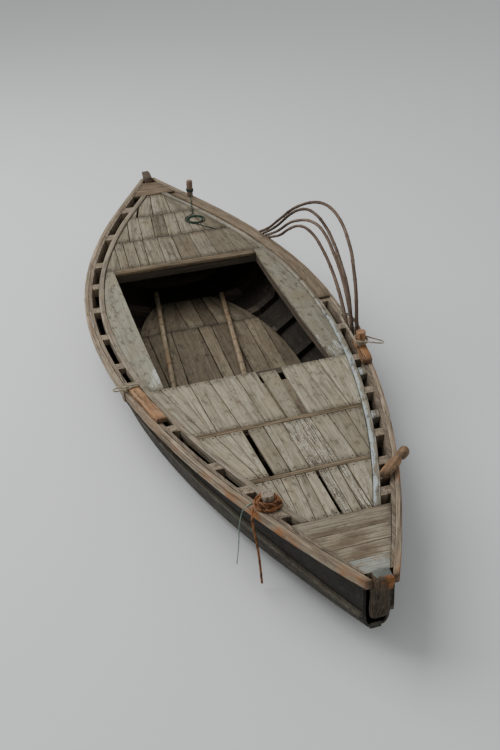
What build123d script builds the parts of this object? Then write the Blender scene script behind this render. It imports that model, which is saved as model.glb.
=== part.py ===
from build123d import *
import math
import os

# An open plank rowing boat with a spoon bow and stern, half decked at both ends.
# X runs from stern to bow, Y to port and Z up. The origin is amidships on the waterline.
# All lengths are in millimetres and all angles in degrees.

os.makedirs("parts", exist_ok=True)

# Plan of the outer rails: four arcs, each tangent to the next, from the stern to the bow. The radii
# along the quarters and the bow are those that bring the curve to its two end widths.
HALF_BEAM = 953.0
WIDEST_X = -489.0
STERN_HALF_W = 118.65
STERN_ARC_R = 40000.0
STERN_ARC_END_X = -2351.0
SHOULDER_ARC_R = 5675.0
SHOULDER_ARC_END_X = 562.0
BOW_HALF_W = 120.86

# Sheer, the height of the rail tops over the water: four tangent arcs
SHEER_LOW_Z = 432.0
SHEER_LOW_X = -193.0
SHEER_STERN_R = 9687.0
SHEER_STERN_END_X = -1511.0
SHEER_AFT_R = 13964.0
SHEER_FORE_R = 27170.0
SHEER_FORE_END_X = 1041.0
SHEER_BOW_R = 300000.0

# Rocker, the outer face of the hull's middle: four tangent arcs
DRAFT_DEPTH = 180.0
ROCKER_LOW_X = -50.0
ROCKER_MID_R = 14000.0
ROCKER_STERN_END_X = -1300.0
ROCKER_STERN_R = 4600.0
ROCKER_BOW_END_X = 1300.0
ROCKER_BOW_R = 7500.0

# Shell
HULL_STERN_X = -2700.0
HULL_BOW_X = 2688.0
PLANK_T = 25.0
PLANK_END_T = 16.0
SEAM = 0.8
TOPSIDE_DEPTH = 190.0
TOPSIDE_DEPTH_RISE = 110.0
TOPSIDE_FLARE = 0.225
BILGE_FULLNESS = 0.83
BILGE_FULLNESS_END = 1.0
KEEL_HALF_W = 70.0
KEEL_END_HALF_W = 32.0
KEEL_T = 40.0
KEEL_PROUD = 15.0

# Gunwale
RAIL_T = 35.0
RAIL_DEPTH = 60.0
HEAD_GAP = 55.0
INWALE_T = 40.0
INWALE_DEPTH = 60.0
INWALE_OUT = RAIL_T + PLANK_T + HEAD_GAP
INWALE_IN = INWALE_OUT + INWALE_T
RAIL_STERN_NECK = 21.66
RAIL_BOW_X = 2745.0
WALE_PROUD = 20.0
WALE_H = 28.0

# Clearances
FIT = 0.3
SKIN_FIT = 0.8

# Frames
FRAME_W = 75.0
FRAME_DEPTH = 50.0
MOORING_POST_X = 1970.0
FRAMES_X = (
    -2300.0, -1900.0, -1476.0, -1145.0, -778.0, -356.0, 92.0, 560.0, 1000.0, 1500.0, MOORING_POST_X - 180.0,
    MOORING_POST_X + 100.0,
)
HEAD_DROP = 4.0

# Decks
DECK_DROP = 12.0
DECK_T = 25.0
DECK_SIDE_GAP = 3.0
BEAM_DEPTH = 60.0
WELL_AFT_X = -1304.0
WELL_FORE_X = 452.0
SIDE_DECK_W = 346.0
WELL_HALF_W = HALF_BEAM - SIDE_DECK_W
CARLIN_W = 45.0
CARLIN_DEPTH = 55.0
FLOOR_TOP_Z = 10.0
FLOOR_T = 22.0
FLOOR_HALF_W = 620.0
FLOOR_EDGE_GAP = 13.0
END_DECK_DROP = 2.0
END_DECK_T = 28.0
LEDGE_W = 30.0

# Stem blocks
BOW_BLOCK_X = 2795.0
BOW_BLOCK_HALF_W = 58.0
BOW_BLOCK_UP = 28.0
BOW_BLOCK_LOW_Z = 262.0
BOW_BLOCK_RAKE = 48.0
STERN_KNOB_X = -2868.0
STERN_KNOB_HALF_W = 34.0
STERN_KNOB_UP = 18.0
STERN_BLOCK_DEPTH = 250.0

# Posts and pads
MOORING_HEAD_R = 36.0
MOORING_HEAD_H = 78.0
MOORING_WAIST_H = 53.0
MOORING_SHANK_R = 19.0
MOORING_SHANK_LEN = 130.0
AFTER_POST_X = -2357.0
AFTER_POST_INSET = 54.0
AFTER_POST_R = 28.0
AFTER_POST_H = 140.0
AFTER_WAIST_H = 65.0
THOLE_X = 470.0
THOLE_INSET = 42.0
THOLE_R = 34.0
THOLE_H = 105.0
THOLE_WAIST_H = 61.0
WAIST_DEPTH = 1.0
CAP_T = 18.0
PAD_T = 38.0
ROPE_R = 6.0
STARBOARD_PAD_X = (400.0, 920.0)
LASHING_X = (STARBOARD_PAD_X[0] + 30.0, STARBOARD_PAD_X[0] + 44.0, STARBOARD_PAD_X[0] + 58.0)
LASHING_DROP = 69.0
HOLE_CLEAR = 3.0


class TangentArcs:
    """A curve of arcs, each tangent to the next, level at its turning point."""

    def __init__(self, turn_u, turn_v, sense, aft, fore):
        # sense is -1 where the arcs' centres lie below the curve, and 1 where they lie above it
        self.sense = sense
        self.arcs = []
        for side, rows in ((-1.0, aft), (1.0, fore)):
            cu, cv, last_r, last_end = turn_u, turn_v, 0.0, turn_u
            for r, end_u in rows:
                nu = (last_end - cu) / last_r if last_r else 0.0
                nv = math.sqrt(1.0 - nu * nu)
                on_u = cu + last_r * nu
                on_v = cv - sense * last_r * nv
                cu, cv = on_u - r * nu, on_v + sense * r * nv
                self.arcs.append((side, cu, cv, r, nu, (end_u - cu) / r))
                last_r, last_end = r, end_u

    def value(self, u, inset=0.0):
        """The curve's height over u, with every arc's radius less the inset."""
        for side, cu, cv, r, n0, n1 in self.arcs:
            a, b = sorted((cu + (r - inset) * n0, cu + (r - inset) * n1))
            if a <= u <= b:
                return cv - self.sense * math.sqrt((r - inset) ** 2 - (u - cu) ** 2)
        side, cu, cv, r, n0, n1 = self.arcs[1] if u < self.arcs[0][1] else self.arcs[3]
        return cv - self.sense * math.sqrt((r - inset) ** 2 - (u - cu) ** 2)

    def breaks(self, ua, ub, inset=0.0):
        """The ends of the arcs between ua and ub, with both of them, in order."""
        ends = {ua, ub}
        for side, cu, cv, r, n0, n1 in self.arcs:
            for n in (n0, n1):
                u = cu + (r - inset) * n
                if ua + 1.0 < u < ub - 1.0:
                    ends.add(round(u, 6))
        return sorted(ends)



def plan_of(quarter_r, bow_r):
    """The plan curve with these radii along the quarters and the bow."""
    return TangentArcs(
        WIDEST_X, HALF_BEAM, -1.0,
        ((quarter_r, STERN_ARC_END_X), (STERN_ARC_R, STERN_KNOB_X)),
        ((SHOULDER_ARC_R, SHOULDER_ARC_END_X), (bow_r, BOW_BLOCK_X)),
    )


def fitted_radius(curve_of, x, half_width):
    """The radius whose curve passes through one half-breadth at x."""
    low, high = WIDEST_X - HULL_STERN_X, STERN_ARC_R
    for _ in range(60):
        mid = (low + high) / 2
        if curve_of(mid).value(x) < half_width:
            low = mid
        else:
            high = mid
    return (low + high) / 2


BOW_ARC_R = fitted_radius(lambda r: plan_of(STERN_ARC_R, r), HULL_BOW_X, BOW_HALF_W)
QUARTER_ARC_R = fitted_radius(lambda r: plan_of(r, BOW_ARC_R), HULL_STERN_X, STERN_HALF_W)
PLAN = plan_of(QUARTER_ARC_R, BOW_ARC_R)


def rail_stern_x():
    """Where the rails end at the stern, with half a neck of the stem block between them."""
    fore, aft = HULL_STERN_X, STERN_KNOB_X
    for _ in range(60):
        mid = (fore + aft) / 2
        if PLAN.value(mid, RAIL_T) > RAIL_STERN_NECK:
            fore = mid
        else:
            aft = mid
    return (fore + aft) / 2


RAIL_STERN_X = rail_stern_x()
SHEER = TangentArcs(
    SHEER_LOW_X, SHEER_LOW_Z, 1.0,
    ((SHEER_AFT_R, SHEER_STERN_END_X), (SHEER_STERN_R, STERN_KNOB_X)),
    ((SHEER_FORE_R, SHEER_FORE_END_X), (SHEER_BOW_R, BOW_BLOCK_X)),
)
ROCKER = TangentArcs(
    ROCKER_LOW_X, -DRAFT_DEPTH, 1.0,
    ((ROCKER_MID_R, ROCKER_STERN_END_X), (ROCKER_STERN_R, STERN_KNOB_X)),
    ((ROCKER_MID_R, ROCKER_BOW_END_X), (ROCKER_BOW_R, BOW_BLOCK_X)),
)


def plan_edges(xa, xb, inset, side):
    """Arcs of the plan curve, moved inwards by inset, from xa to xb on one side."""
    ends = PLAN.breaks(xa, xb, inset)
    edges = []
    for x0, x1 in zip(ends, ends[1:]):
        pts = [(x, side * PLAN.value(x, inset), 0) for x in (x0, (x0 + x1) / 2, x1)]
        edges.append(ThreePointArc(*pts))
    return edges


def plan_strip(xa, xb, outer, inner, side):
    """The flat strip between two insets of the plan curve on one side."""
    far = plan_edges(xa, xb, outer, side)
    near = plan_edges(xa, xb, inner, side)
    ends = [Line(far[0] @ 0, near[0] @ 0), Line(far[-1] @ 1, near[-1] @ 1)]
    return make_face(far + near + ends)


def plan_region(xa, xb, inset):
    """The whole width of the boat between xa and xb, inside an inset of the plan curve."""
    port = plan_edges(xa, xb, inset, 1)
    starboard = plan_edges(xa, xb, inset, -1)
    ends = [Line(port[0] @ 0, starboard[0] @ 0), Line(port[-1] @ 1, starboard[-1] @ 1)]
    return make_face(port + starboard + ends)


def sheer_band(top_drop, bottom_drop, xa=STERN_KNOB_X, xb=BOW_BLOCK_X):
    """All that lies between two drops under the sheer, right across the boat."""
    ends = SHEER.breaks(xa, xb)
    edges = []
    for drop in (top_drop, bottom_drop):
        for x0, x1 in zip(ends, ends[1:]):
            pts = [(x, 0, SHEER.value(x) - drop) for x in (x0, (x0 + x1) / 2, x1)]
            edges.append(ThreePointArc(*pts))
    for x in (xa, xb):
        edges.append(Line((x, 0, SHEER.value(x) - top_drop), (x, 0, SHEER.value(x) - bottom_drop)))
    return extrude(make_face(edges), amount=HALF_BEAM + 100, dir=(0, 1, 0), both=True)


CUT_DEPTH = 500.0
CUT_HEIGHT = 1700.0


def upright(face):
    """A flat outline raised from below the keel to above the sheer."""
    return extrude(Pos(0, 0, -CUT_DEPTH) * face, amount=CUT_HEIGHT, dir=(0, 0, 1))


def follow_sheer(face, top_drop, bottom_drop):
    """The outline's part between two drops under the sheer."""
    return upright(face) & sheer_band(top_drop, bottom_drop)


def solids_of(*shapes):
    """One compound of all the separate solids of the shapes."""
    found = []
    for shape in shapes:
        found.extend(shape.solids())
    return Compound(children=[Solid(s.wrapped) for s in found])


def write(name, *shapes):
    """One sub-part, as one STEP file."""
    part = solids_of(*shapes)
    part.label = name
    export_step(part, "parts/" + name + ".step")
    print(name, len(part.solids()), round(part.volume / 1e6, 3))


# Hull sections, from the keel plank's edge to the sheer

def topside_foot(x):
    """The lower edge of the topside plank, on its outer face."""
    end = abs(x) / HULL_BOW_X
    drop = TOPSIDE_DEPTH + TOPSIDE_DEPTH_RISE * end ** 3
    top_y = PLAN.value(x, RAIL_T)
    return top_y - TOPSIDE_FLARE * drop * top_y / HALF_BEAM, SHEER.value(x) - drop


def keel_half_width(x):
    """Half the width of the keel plank, which narrows to both ends."""
    return KEEL_HALF_W - (KEEL_HALF_W - KEEL_END_HALF_W) * min(1.0, abs(x) / HULL_BOW_X) ** 2


def bilge_point(x, angle):
    """A point of the outer face below the topside, 0 at the keel plank and 90 at the topside's foot."""
    y0, z0 = keel_half_width(x), ROCKER.value(x)
    y1, z1 = topside_foot(x)
    end = min(1.0, abs(x) / HULL_BOW_X) ** 2
    power = BILGE_FULLNESS + (BILGE_FULLNESS_END - BILGE_FULLNESS) * end
    s = max(math.sin(math.radians(angle)), 0.0) ** power
    c = max(math.cos(math.radians(angle)), 0.0) ** power
    return y0 + (y1 - y0) * s, z1 - (z1 - z0) * c


def bilge_normal(x, angle):
    """The unit normal there, to the inside."""
    ya, za = bilge_point(x, max(angle - 2.0, 0.0))
    yb, zb = bilge_point(x, min(angle + 2.0, 90.0))
    length = math.hypot(yb - ya, zb - za)
    return -(zb - za) / length, (yb - ya) / length


def shell_point(x, angle, depth):
    """A point inside the outer face by depth. Past 90 the angle climbs the topside to 100 at the sheer."""
    if angle <= 90.0:
        y, z = bilge_point(x, angle)
        ny, nz = bilge_normal(x, min(angle, 88.0))
        if angle > 88.0:
            ny, nz = topside_normal(x)
    else:
        y0, z0 = topside_foot(x)
        share = (angle - 90.0) / 10.0
        y = y0 + (PLAN.value(x, RAIL_T) - y0) * share
        z = z0 + (SHEER.value(x) - z0) * share
        ny, nz = topside_normal(x)
    return y + ny * depth, z + nz * depth


def topside_normal(x):
    """The unit normal of the topside plank, to the inside."""
    y0, z0 = topside_foot(x)
    dy, dz = PLAN.value(x, RAIL_T) - y0, SHEER.value(x) - z0
    length = math.hypot(dy, dz)
    return -dz / length, dy / length


def plank_t(x):
    """The planks' thickness, which is less where they narrow to the stem blocks."""
    return PLANK_T - (PLANK_T - PLANK_END_T) * min(1.0, abs(x) / HULL_BOW_X) ** 8


def through(rings, ruled=False):
    """The solid through outlines of as many corners each."""
    wires = [Wire.make_polygon([Vector(*p) for p in ring], close=True) for ring in rings]
    return Solid.make_loft(wires, ruled=ruled)


def strake_section(x, side, a0, a1):
    """A plank's section between two angles, with half a seam left at each edge."""
    corners = []
    for depth in (0.0, plank_t(x)):
        ya, za = shell_point(x, a0, depth)
        yb, zb = shell_point(x, a1, depth)
        share = SEAM / 2 / math.hypot(yb - ya, zb - za)
        corners.append((ya + (yb - ya) * share, za + (zb - za) * share))
        corners.append((yb - (yb - ya) * share, zb - (zb - za) * share))
    ring = [corners[0], corners[1], corners[3], corners[2]]
    return [(x, side * y, z) for y, z in ring]


STATIONS = (
    HULL_STERN_X, HULL_STERN_X + 90.0, HULL_STERN_X + 200.0, STERN_ARC_END_X, -2180.0, -1960.0, -1700.0,
    -1476.0, -1200.0, -900.0, -600.0, -300.0, 0.0, 300.0, SHOULDER_ARC_END_X, 780.0, 1010.0, 1300.0, 1650.0,
    2050.0, 2400.0, HULL_BOW_X,
)


def strake(side, a0, a1):
    """One plank from stern to bow."""
    return through([strake_section(x, side, a0, a1) for x in STATIONS])


# Bottom and bilge planks, from the keel plank outwards: name, first angle, last angle
STRAKES = (
    ("garboard", 0.0, 20.0),
    ("bottom_plank", 20.0, 42.0),
    ("lower_bilge_plank", 42.0, 65.0),
    ("upper_bilge_plank", 65.0, 90.0),
)
for name, a0, a1 in STRAKES:
    for side, side_name in ((1, "port"), (-1, "starboard")):
        write(name + "_" + side_name, strake(side, a0, a1))


def topside_section(x, side):
    """The topside plank's section, with its top edge level and its foot on the bilge plank."""
    foot_out, foot_in = shell_point(x, 90.0, 0.0), shell_point(x, 90.0, plank_t(x))
    top_z = SHEER.value(x) - 1.0
    out_y = PLAN.value(x, RAIL_T) - SKIN_FIT - FIT
    foot_out = (foot_out[0], foot_out[1] + SEAM / 2)
    foot_in = (foot_in[0], foot_in[1] + SEAM / 2)
    ring = [foot_out, (out_y, top_z), (out_y - plank_t(x), top_z), foot_in]
    return [(x, side * y, z) for y, z in ring]


# The starboard plank has one slot, through which the oar lashing passes under the rail
slot_x = (LASHING_X[0] + LASHING_X[-1]) / 2
slot_w = LASHING_X[-1] - LASHING_X[0] + 2 * (ROPE_R + HOLE_CLEAR)
slot = Pos(slot_x, -PLAN.value(slot_x), SHEER.value(slot_x) - LASHING_DROP)
slot = slot * Box(slot_w, 2 * (INWALE_OUT + INWALE_T), 2 * (ROPE_R + HOLE_CLEAR))
write("topside_plank_port", through([topside_section(x, 1) for x in STATIONS]))
write("topside_plank_starboard", through([topside_section(x, -1) for x in STATIONS]) - slot)


def topside_inner(x, drop):
    """Half-breadth of the topside plank's inner face at a drop under the sheer."""
    top, foot = topside_section(x, 1)[2:4]
    share = (top[2] - SHEER.value(x) + drop) / (top[2] - foot[2])
    return top[1] + (foot[1] - top[1]) * share


def keel_section(x):
    """The keel plank's section between the garboards."""
    w = keel_half_width(x) - SEAM
    z = ROCKER.value(x) - KEEL_PROUD
    return [(x, -w, z), (x, w, z), (x, w, z + KEEL_T), (x, -w, z + KEEL_T)]


write("keel_plank", through([keel_section(x) for x in STATIONS]))


def wale_section(x, side):
    """The rubbing strip along the topside's foot."""
    y, z = topside_foot(x)
    slope = (PLAN.value(x, RAIL_T) - y) / (SHEER.value(x) - z)
    top = (y + slope * (WALE_H + 2) + SKIN_FIT, z + WALE_H + 2)
    low = (y + slope * 2 + SKIN_FIT, z + 2)
    ring = [low, (low[0] + WALE_PROUD, low[1]), (top[0] + WALE_PROUD, top[1]), top]
    return [(x, side * y, z) for y, z in ring]


write("rubbing_strips", *[through([wale_section(x, side) for x in STATIONS]) for side in (1, -1)])


# Rails along the outside of the topside planks, and inwales inside the frame heads
DECK_INSET = INWALE_IN + DECK_SIDE_GAP
ROW_ENDS = {"fore": MOORING_POST_X + 218.0, "aft": HULL_STERN_X + 197.0}

for side, side_name in ((1, "port"), (-1, "starboard")):
    rail = follow_sheer(plan_strip(RAIL_STERN_X, RAIL_BOW_X, 0, RAIL_T, side), 0, RAIL_DEPTH)
    write("outer_rail_" + side_name, rail)
    inwale = plan_strip(ROW_ENDS["aft"], ROW_ENDS["fore"], INWALE_OUT, INWALE_IN, side)
    write("inwale_" + side_name, follow_sheer(inwale, 0, INWALE_DEPTH))


# Floor timbers across the keel, and side frames whose heads stand in the gunwale's gap
FLOOR_END_ANGLE = 42.0
FLOOR_ANGLES = (0.0, 20.0, 42.0)
SIDE_ANGLES = (42.0, 65.0, 90.0)


def skin_point(x, angle):
    """A point of the planks' inner face, with the clearance that frames have there."""
    return shell_point(x, angle, plank_t(x) + SKIN_FIT)


def frame_face_y(x, z):
    """Half-breadth of the frames' inner faces at one height."""
    depth = plank_t(x) + SKIN_FIT + FRAME_DEPTH
    low, high = 0.0, 90.0
    for _ in range(30):
        mid = (low + high) / 2
        if shell_point(x, mid, depth)[1] < z:
            low = mid
        else:
            high = mid
    return shell_point(x, low, depth)[0]


def floor_half_width(x):
    """Half the width of the bottom boards, which stop short of the frames."""
    return min(FLOOR_HALF_W, frame_face_y(x, FLOOR_TOP_Z - FLOOR_T) - FLOOR_EDGE_GAP)


def floor_section(x):
    """A floor timber's section: on the planks below, and level where the bottom boards lie."""
    low = [skin_point(x, a) for a in FLOOR_ANGLES]
    keel_z = ROCKER.value(x) - KEEL_PROUD + KEEL_T + SKIN_FIT
    w = keel_half_width(x)
    low = [(w + SEAM, max(keel_z, low[0][1]))] + low[1:]
    end_y, end_z = low[-1]
    top_z = max(FLOOR_TOP_Z - FLOOR_T - FIT, ROCKER.value(x) + PLANK_T + FRAME_DEPTH)
    flat_y = frame_face_y(x, top_z)
    ny, nz = bilge_normal(x, FLOOR_END_ANGLE)
    depth = max(FRAME_DEPTH, (top_z - end_z) / nz)
    shoulder = (end_y + ny * depth, end_z + nz * depth)
    half = low + [shoulder]
    if shoulder[1] > top_z + 1.0:
        half.append((max(min(flat_y, shoulder[0] - 1.0), w), top_z))
    ring = half + [(-y, z) for y, z in reversed(half)]
    return [(x, y, z) for y, z in ring]


def side_frame_section(x, side):
    """A side frame's section, up the planks and into the gap as a head."""
    out = [skin_point(x, a) for a in SIDE_ANGLES]
    ny, nz = bilge_normal(x, FLOOR_END_ANGLE)
    out[0] = (out[0][0], out[0][1] + SEAM)
    head_out = PLAN.value(x, RAIL_T) - plank_t(x) - 2 * SKIN_FIT - FIT
    head_in = PLAN.value(x, INWALE_OUT) + SKIN_FIT
    top = SHEER.value(x) - HEAD_DROP
    under = SHEER.value(x) - INWALE_DEPTH - 10.0
    inner = [shell_point(x, a, plank_t(x) + SKIN_FIT + FRAME_DEPTH) for a in SIDE_ANGLES]
    ring = out + [(head_out, top), (head_in, top), (head_in, under)] + list(reversed(inner))
    return [(x, side * y, z) for y, z in ring]


floors, sides_port, sides_starboard = [], [], []
for x in FRAMES_X:
    xa, xb = x - FRAME_W / 2, x + FRAME_W / 2
    floors.append(through([floor_section(xa), floor_section(xb)], ruled=True))
    sides_port.append(through([side_frame_section(xa, 1), side_frame_section(xb, 1)], ruled=True))
    sides_starboard.append(through([side_frame_section(xa, -1), side_frame_section(xb, -1)], ruled=True))
write("floor_timbers", *floors)
write("side_frames_port", *sides_port)
write("side_frames_starboard", *sides_starboard)


def board_rows(name, xa, xb, seams, drop=DECK_DROP, inset=DECK_INSET):
    """A row of boards side by side, from the inwale on starboard to the inwale on port."""
    region = upright(plan_region(xa, xb, inset))
    lines = [(-BEAM_PARTS, -BEAM_PARTS, 0.0, seams[0][3]), *seams[1:], (BEAM_PARTS, BEAM_PARTS, 0.0, 0.0)]
    lines = [(a * HALF_BEAM / BEAM_PARTS, b * HALF_BEAM / BEAM_PARTS, gap, up) for a, b, gap, up in lines]
    boards = []
    for (a0, b0, gap0, lift), (a1, b1, gap1, unused) in zip(lines, lines[1:]):
        corners = [(xa, a0 + gap0 / 2), (xb, b0 + gap0 / 2), (xb, b1 - gap1 / 2), (xa, a1 - gap1 / 2)]
        board = follow_sheer(make_face(Polyline(*corners, close=True)), drop - lift, drop + DECK_T)
        boards.append(board & region)
    write(name, *boards)


# Rows of deck boards, as columns: y at the aft end and at the fore end in thousandths of the half
# beam, width of the seam, and how far the board to port of the seam stands over its neighbours. The
# first line only gives the lift of the board along the starboard side.
BEAM_PARTS = 1000.0
ROW_LINE = {
    "seam1": WELL_FORE_X + 36.0, "seam2": 1150.0, "seam3": 1720.0, "aft1": WELL_AFT_X - 63.0, "aft2": -1800.0,
    "aft3": -2172.0,
}
BATTEN_W = 38.0
BATTEN_GAP = 2.0
FORE_ROW_1 = (
    (0, 0, 0, 0), (-667.4, -512.1, 4, 2), (-556.1, -474.3, 3, 0), (-453.3, -432.3, 5, 1),
    (-308.5, -267.6, 6, 0), (-107, -95.5, 3, 2), (51.4, 55.6, 24, -14), (216.2, 186.8, 40, 1),
    (397.7, 394.5, 4, 0), (524.7, 510, 4, 2),
)
FORE_ROW_2 = (
    (0, 0, 0, 1), (-461.7, -327.4, 7, 0), (-362, -295.9, 3, 2), (-256, -246.6, 36, 0), (-128, -125.9, 6, 2),
    (4.2, -2.1, 5, 0), (199.4, 194.1, 4, 1), (322.1, 320, 6, 0), (453.3, 414.5, 4, 2),
)
FORE_ROW_3 = (
    (0, 0, 0, 0), (-325.3, -278.1, 4, 1), (-267.6, -259.2, 3, 0), (-209.9, -236.1, 4, 2),
    (-115.4, -153.2, 4, 0), (-53.5, -79.7, 4, 1), (23.1, 8.4, 22, 0), (96.5, 73.5, 5, 1),
    (159.5, 134.3, 8, 0), (219.3, 200.4, 8, 2),
)
AFT_ROW_1 = (
    (0, 0, 0, 1), (-570.8, -548.8, 4, 0), (-495.3, -466.9, 4, 2), (-393.5, -369.4, 5, 0),
    (-314.8, -283.3, 4, 1), (-167.9, -146.9, 4, 0), (-21, -10.5, 6, 2), (157.4, 146.9, 4, 0),
    (314.8, 293.8, 4, 1), (493.2, 461.7, 4, 0),
)
AFT_ROW_2 = (
    (0, 0, 0, 0), (-398.7, -346.3, 4, 2), (-276, -240.3, 4, 0), (-160.5, -115.4, 5, 1), (-32.5, 3.1, 4, 0),
    (87.1, 112.3, 5, 2), (199.4, 204.6, 4, 0), (314.8, 274.9, 5, 1),
)
AFT_ROW_3 = (
    (0, 0, 0, 1), (-248.7, -143.8, 16, 0), (-92.3, -40.9, 5, 1), (83.9, 91.3, 5, 0),
)

HALF_BATTEN = BATTEN_W / 2 + BATTEN_GAP
for name, aft, fore, rows in (
    ("aft", ROW_LINE["seam1"], ROW_LINE["seam2"] - HALF_BATTEN, FORE_ROW_1),
    ("mid", ROW_LINE["seam2"] + HALF_BATTEN, ROW_LINE["seam3"] - HALF_BATTEN, FORE_ROW_2),
    ("fore", ROW_LINE["seam3"] + HALF_BATTEN, ROW_ENDS["fore"] - FIT, FORE_ROW_3),
):
    board_rows("foredeck_boards_" + name + "_row", aft, fore, rows)


def swapped(rows):
    """The aft rows' tables run from the well towards the stern, so their ends change places."""
    return tuple((b, a, gap, lift) for a, b, gap, lift in rows)


board_rows("after_deck_boards_fore_row", ROW_LINE["aft2"] + 2, ROW_LINE["aft1"], swapped(AFT_ROW_1))
board_rows("after_deck_boards_mid_row", ROW_LINE["aft3"] + 2, ROW_LINE["aft2"] - 2, swapped(AFT_ROW_2))
board_rows("after_deck_boards_aft_row", ROW_ENDS["aft"] + FIT, ROW_LINE["aft3"] - 2, swapped(AFT_ROW_3))

# Wide planks along both sides of the well
side_decks = []
for side in (1, -1):
    outline = plan_region(ROW_LINE["aft1"] + FIT, ROW_LINE["seam1"] - FIT, DECK_INSET)
    beyond_well = Pos(0, side * (WELL_HALF_W + HALF_BEAM / 2), 0)
    beyond_well = beyond_well * Box(2 * BOW_BLOCK_X, HALF_BEAM, 2 * HALF_BEAM)
    side_decks.append(follow_sheer(outline, DECK_DROP, DECK_DROP + DECK_T) & beyond_well)
write("side_deck_planks", *side_decks)

# Deck beams under the seams, with their ends on the inwales
BEAM_TOP = DECK_DROP + DECK_T + FIT
BEAM_INSET = INWALE_IN + FIT
BEAMS = (
    ("well_aft_beam", ROW_LINE["aft1"] - 20.0, WELL_AFT_X),
    ("well_fore_beam", WELL_FORE_X, ROW_LINE["seam1"] + 35.0),
    ("foredeck_beam_aft", ROW_LINE["seam2"] - 42.0, ROW_LINE["seam2"] + 42.0),
    ("foredeck_beam_fore", ROW_LINE["seam3"] - 42.0, ROW_LINE["seam3"] + 42.0),
    ("foredeck_end_beam", ROW_ENDS["fore"] - 60.0, ROW_ENDS["fore"] - FIT),
    ("after_deck_beam_fore", ROW_LINE["aft2"] - 42.0, ROW_LINE["aft2"] + 42.0),
    ("after_deck_beam_aft", ROW_LINE["aft3"] - 42.0, ROW_LINE["aft3"] + 42.0),
    ("after_deck_end_beam", ROW_ENDS["aft"] + FIT, ROW_ENDS["aft"] + 60.0),
)
deck_beams = []
for name, xa, xb in BEAMS:
    deck_beams.append(follow_sheer(plan_region(xa, xb, BEAM_INSET), BEAM_TOP, BEAM_TOP + BEAM_DEPTH))
write("deck_beams", *deck_beams)

# The well's after edge piece, on its beam and flush with the boards
edge_region = plan_region(ROW_LINE["aft1"] + FIT, WELL_AFT_X, DECK_INSET)
between_sides = Box(2 * BOW_BLOCK_X, 2 * WELL_HALF_W - 2 * FIT, 2 * HALF_BEAM)
write("well_edge_piece", follow_sheer(edge_region, DECK_DROP, DECK_DROP + DECK_T) & between_sides)

# Battens between the rows, standing on their beams
battens = []
for x in (ROW_LINE["seam2"], ROW_LINE["seam3"]):
    region = plan_region(x - BATTEN_W / 2, x + BATTEN_W / 2, DECK_INSET)
    battens.append(follow_sheer(region, DECK_DROP - 2, DECK_DROP + DECK_T))
write("foredeck_battens", *battens)

# Carlins along the well, under the side planks' inner edges
carlins = []
for side in (1, -1):
    xa, xb = WELL_AFT_X + FIT, WELL_FORE_X - FIT
    outline = Pos((xa + xb) / 2, side * (WELL_HALF_W + CARLIN_W / 2), 0) * Rectangle(xb - xa, CARLIN_W)
    carlins.append(follow_sheer(outline, BEAM_TOP, BEAM_TOP + CARLIN_DEPTH))
write("carlins", *carlins)

# Bottom boards on the level floor timbers: y at the aft end and at the fore end in thousandths of the
# half beam, width of the seam
FLOOR_ROW_X = (-1515.0, -1000.0, 620.0)
FLOOR_STEP = 103.0
FLOOR_AFT = (
    (-199.4, -341, 4), (-102.8, -91.3, 5), (60.9, 54.6, 5), (157.4, 179.4, 9), (225.6, 325.3, 5),
)
FLOOR_FORE = (
    (-461.7, -472.2, 6), (-252.9, -367.3, 5), (-10.5, -45.1, 9), (106, 33.6, 5), (251.8, 199.4, 8),
    (409.2, 351.5, 5), (545.6, 493.2, 5),
)
for name, seams, xa, xb in (("aft", FLOOR_AFT, *FLOOR_ROW_X[:2]), ("fore", FLOOR_FORE, *FLOOR_ROW_X[1:])):
    steps = math.ceil((xb - xa) / FLOOR_STEP)
    places = [xa + (xb - xa) * i / steps for i in range(steps + 1)]
    edge = [(x, floor_half_width(x)) for x in places]
    limit = make_face(Polyline(*edge, *[(x, -y) for x, y in reversed(edge)], close=True))
    limit = extrude(Pos(0, 0, FLOOR_TOP_Z - FLOOR_T) * limit, amount=FLOOR_T, dir=(0, 0, 1))
    row = [(-BEAM_PARTS, -BEAM_PARTS, 0)] + list(seams) + [(BEAM_PARTS, BEAM_PARTS, 0)]
    row = [(a * HALF_BEAM / BEAM_PARTS, b * HALF_BEAM / BEAM_PARTS, gap) for a, b, gap in row]
    boards = []
    for (a0, b0, gap0), (a1, b1, gap1) in zip(row, row[1:]):
        port = [(xa + 2, a1 - gap1 / 2), (xb - 2, b1 - gap1 / 2)]
        starboard = [(xa + 2, a0 + gap0 / 2), (xb - 2, b0 + gap0 / 2)]
        face = make_face(Polyline(*starboard, *reversed(port), close=True))
        board = extrude(Pos(0, 0, FLOOR_TOP_Z - FLOOR_T) * face, amount=FLOOR_T, dir=(0, 0, 1))
        boards.append(board & limit)
    write("bottom_boards_" + name + "_row", *boards)

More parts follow.
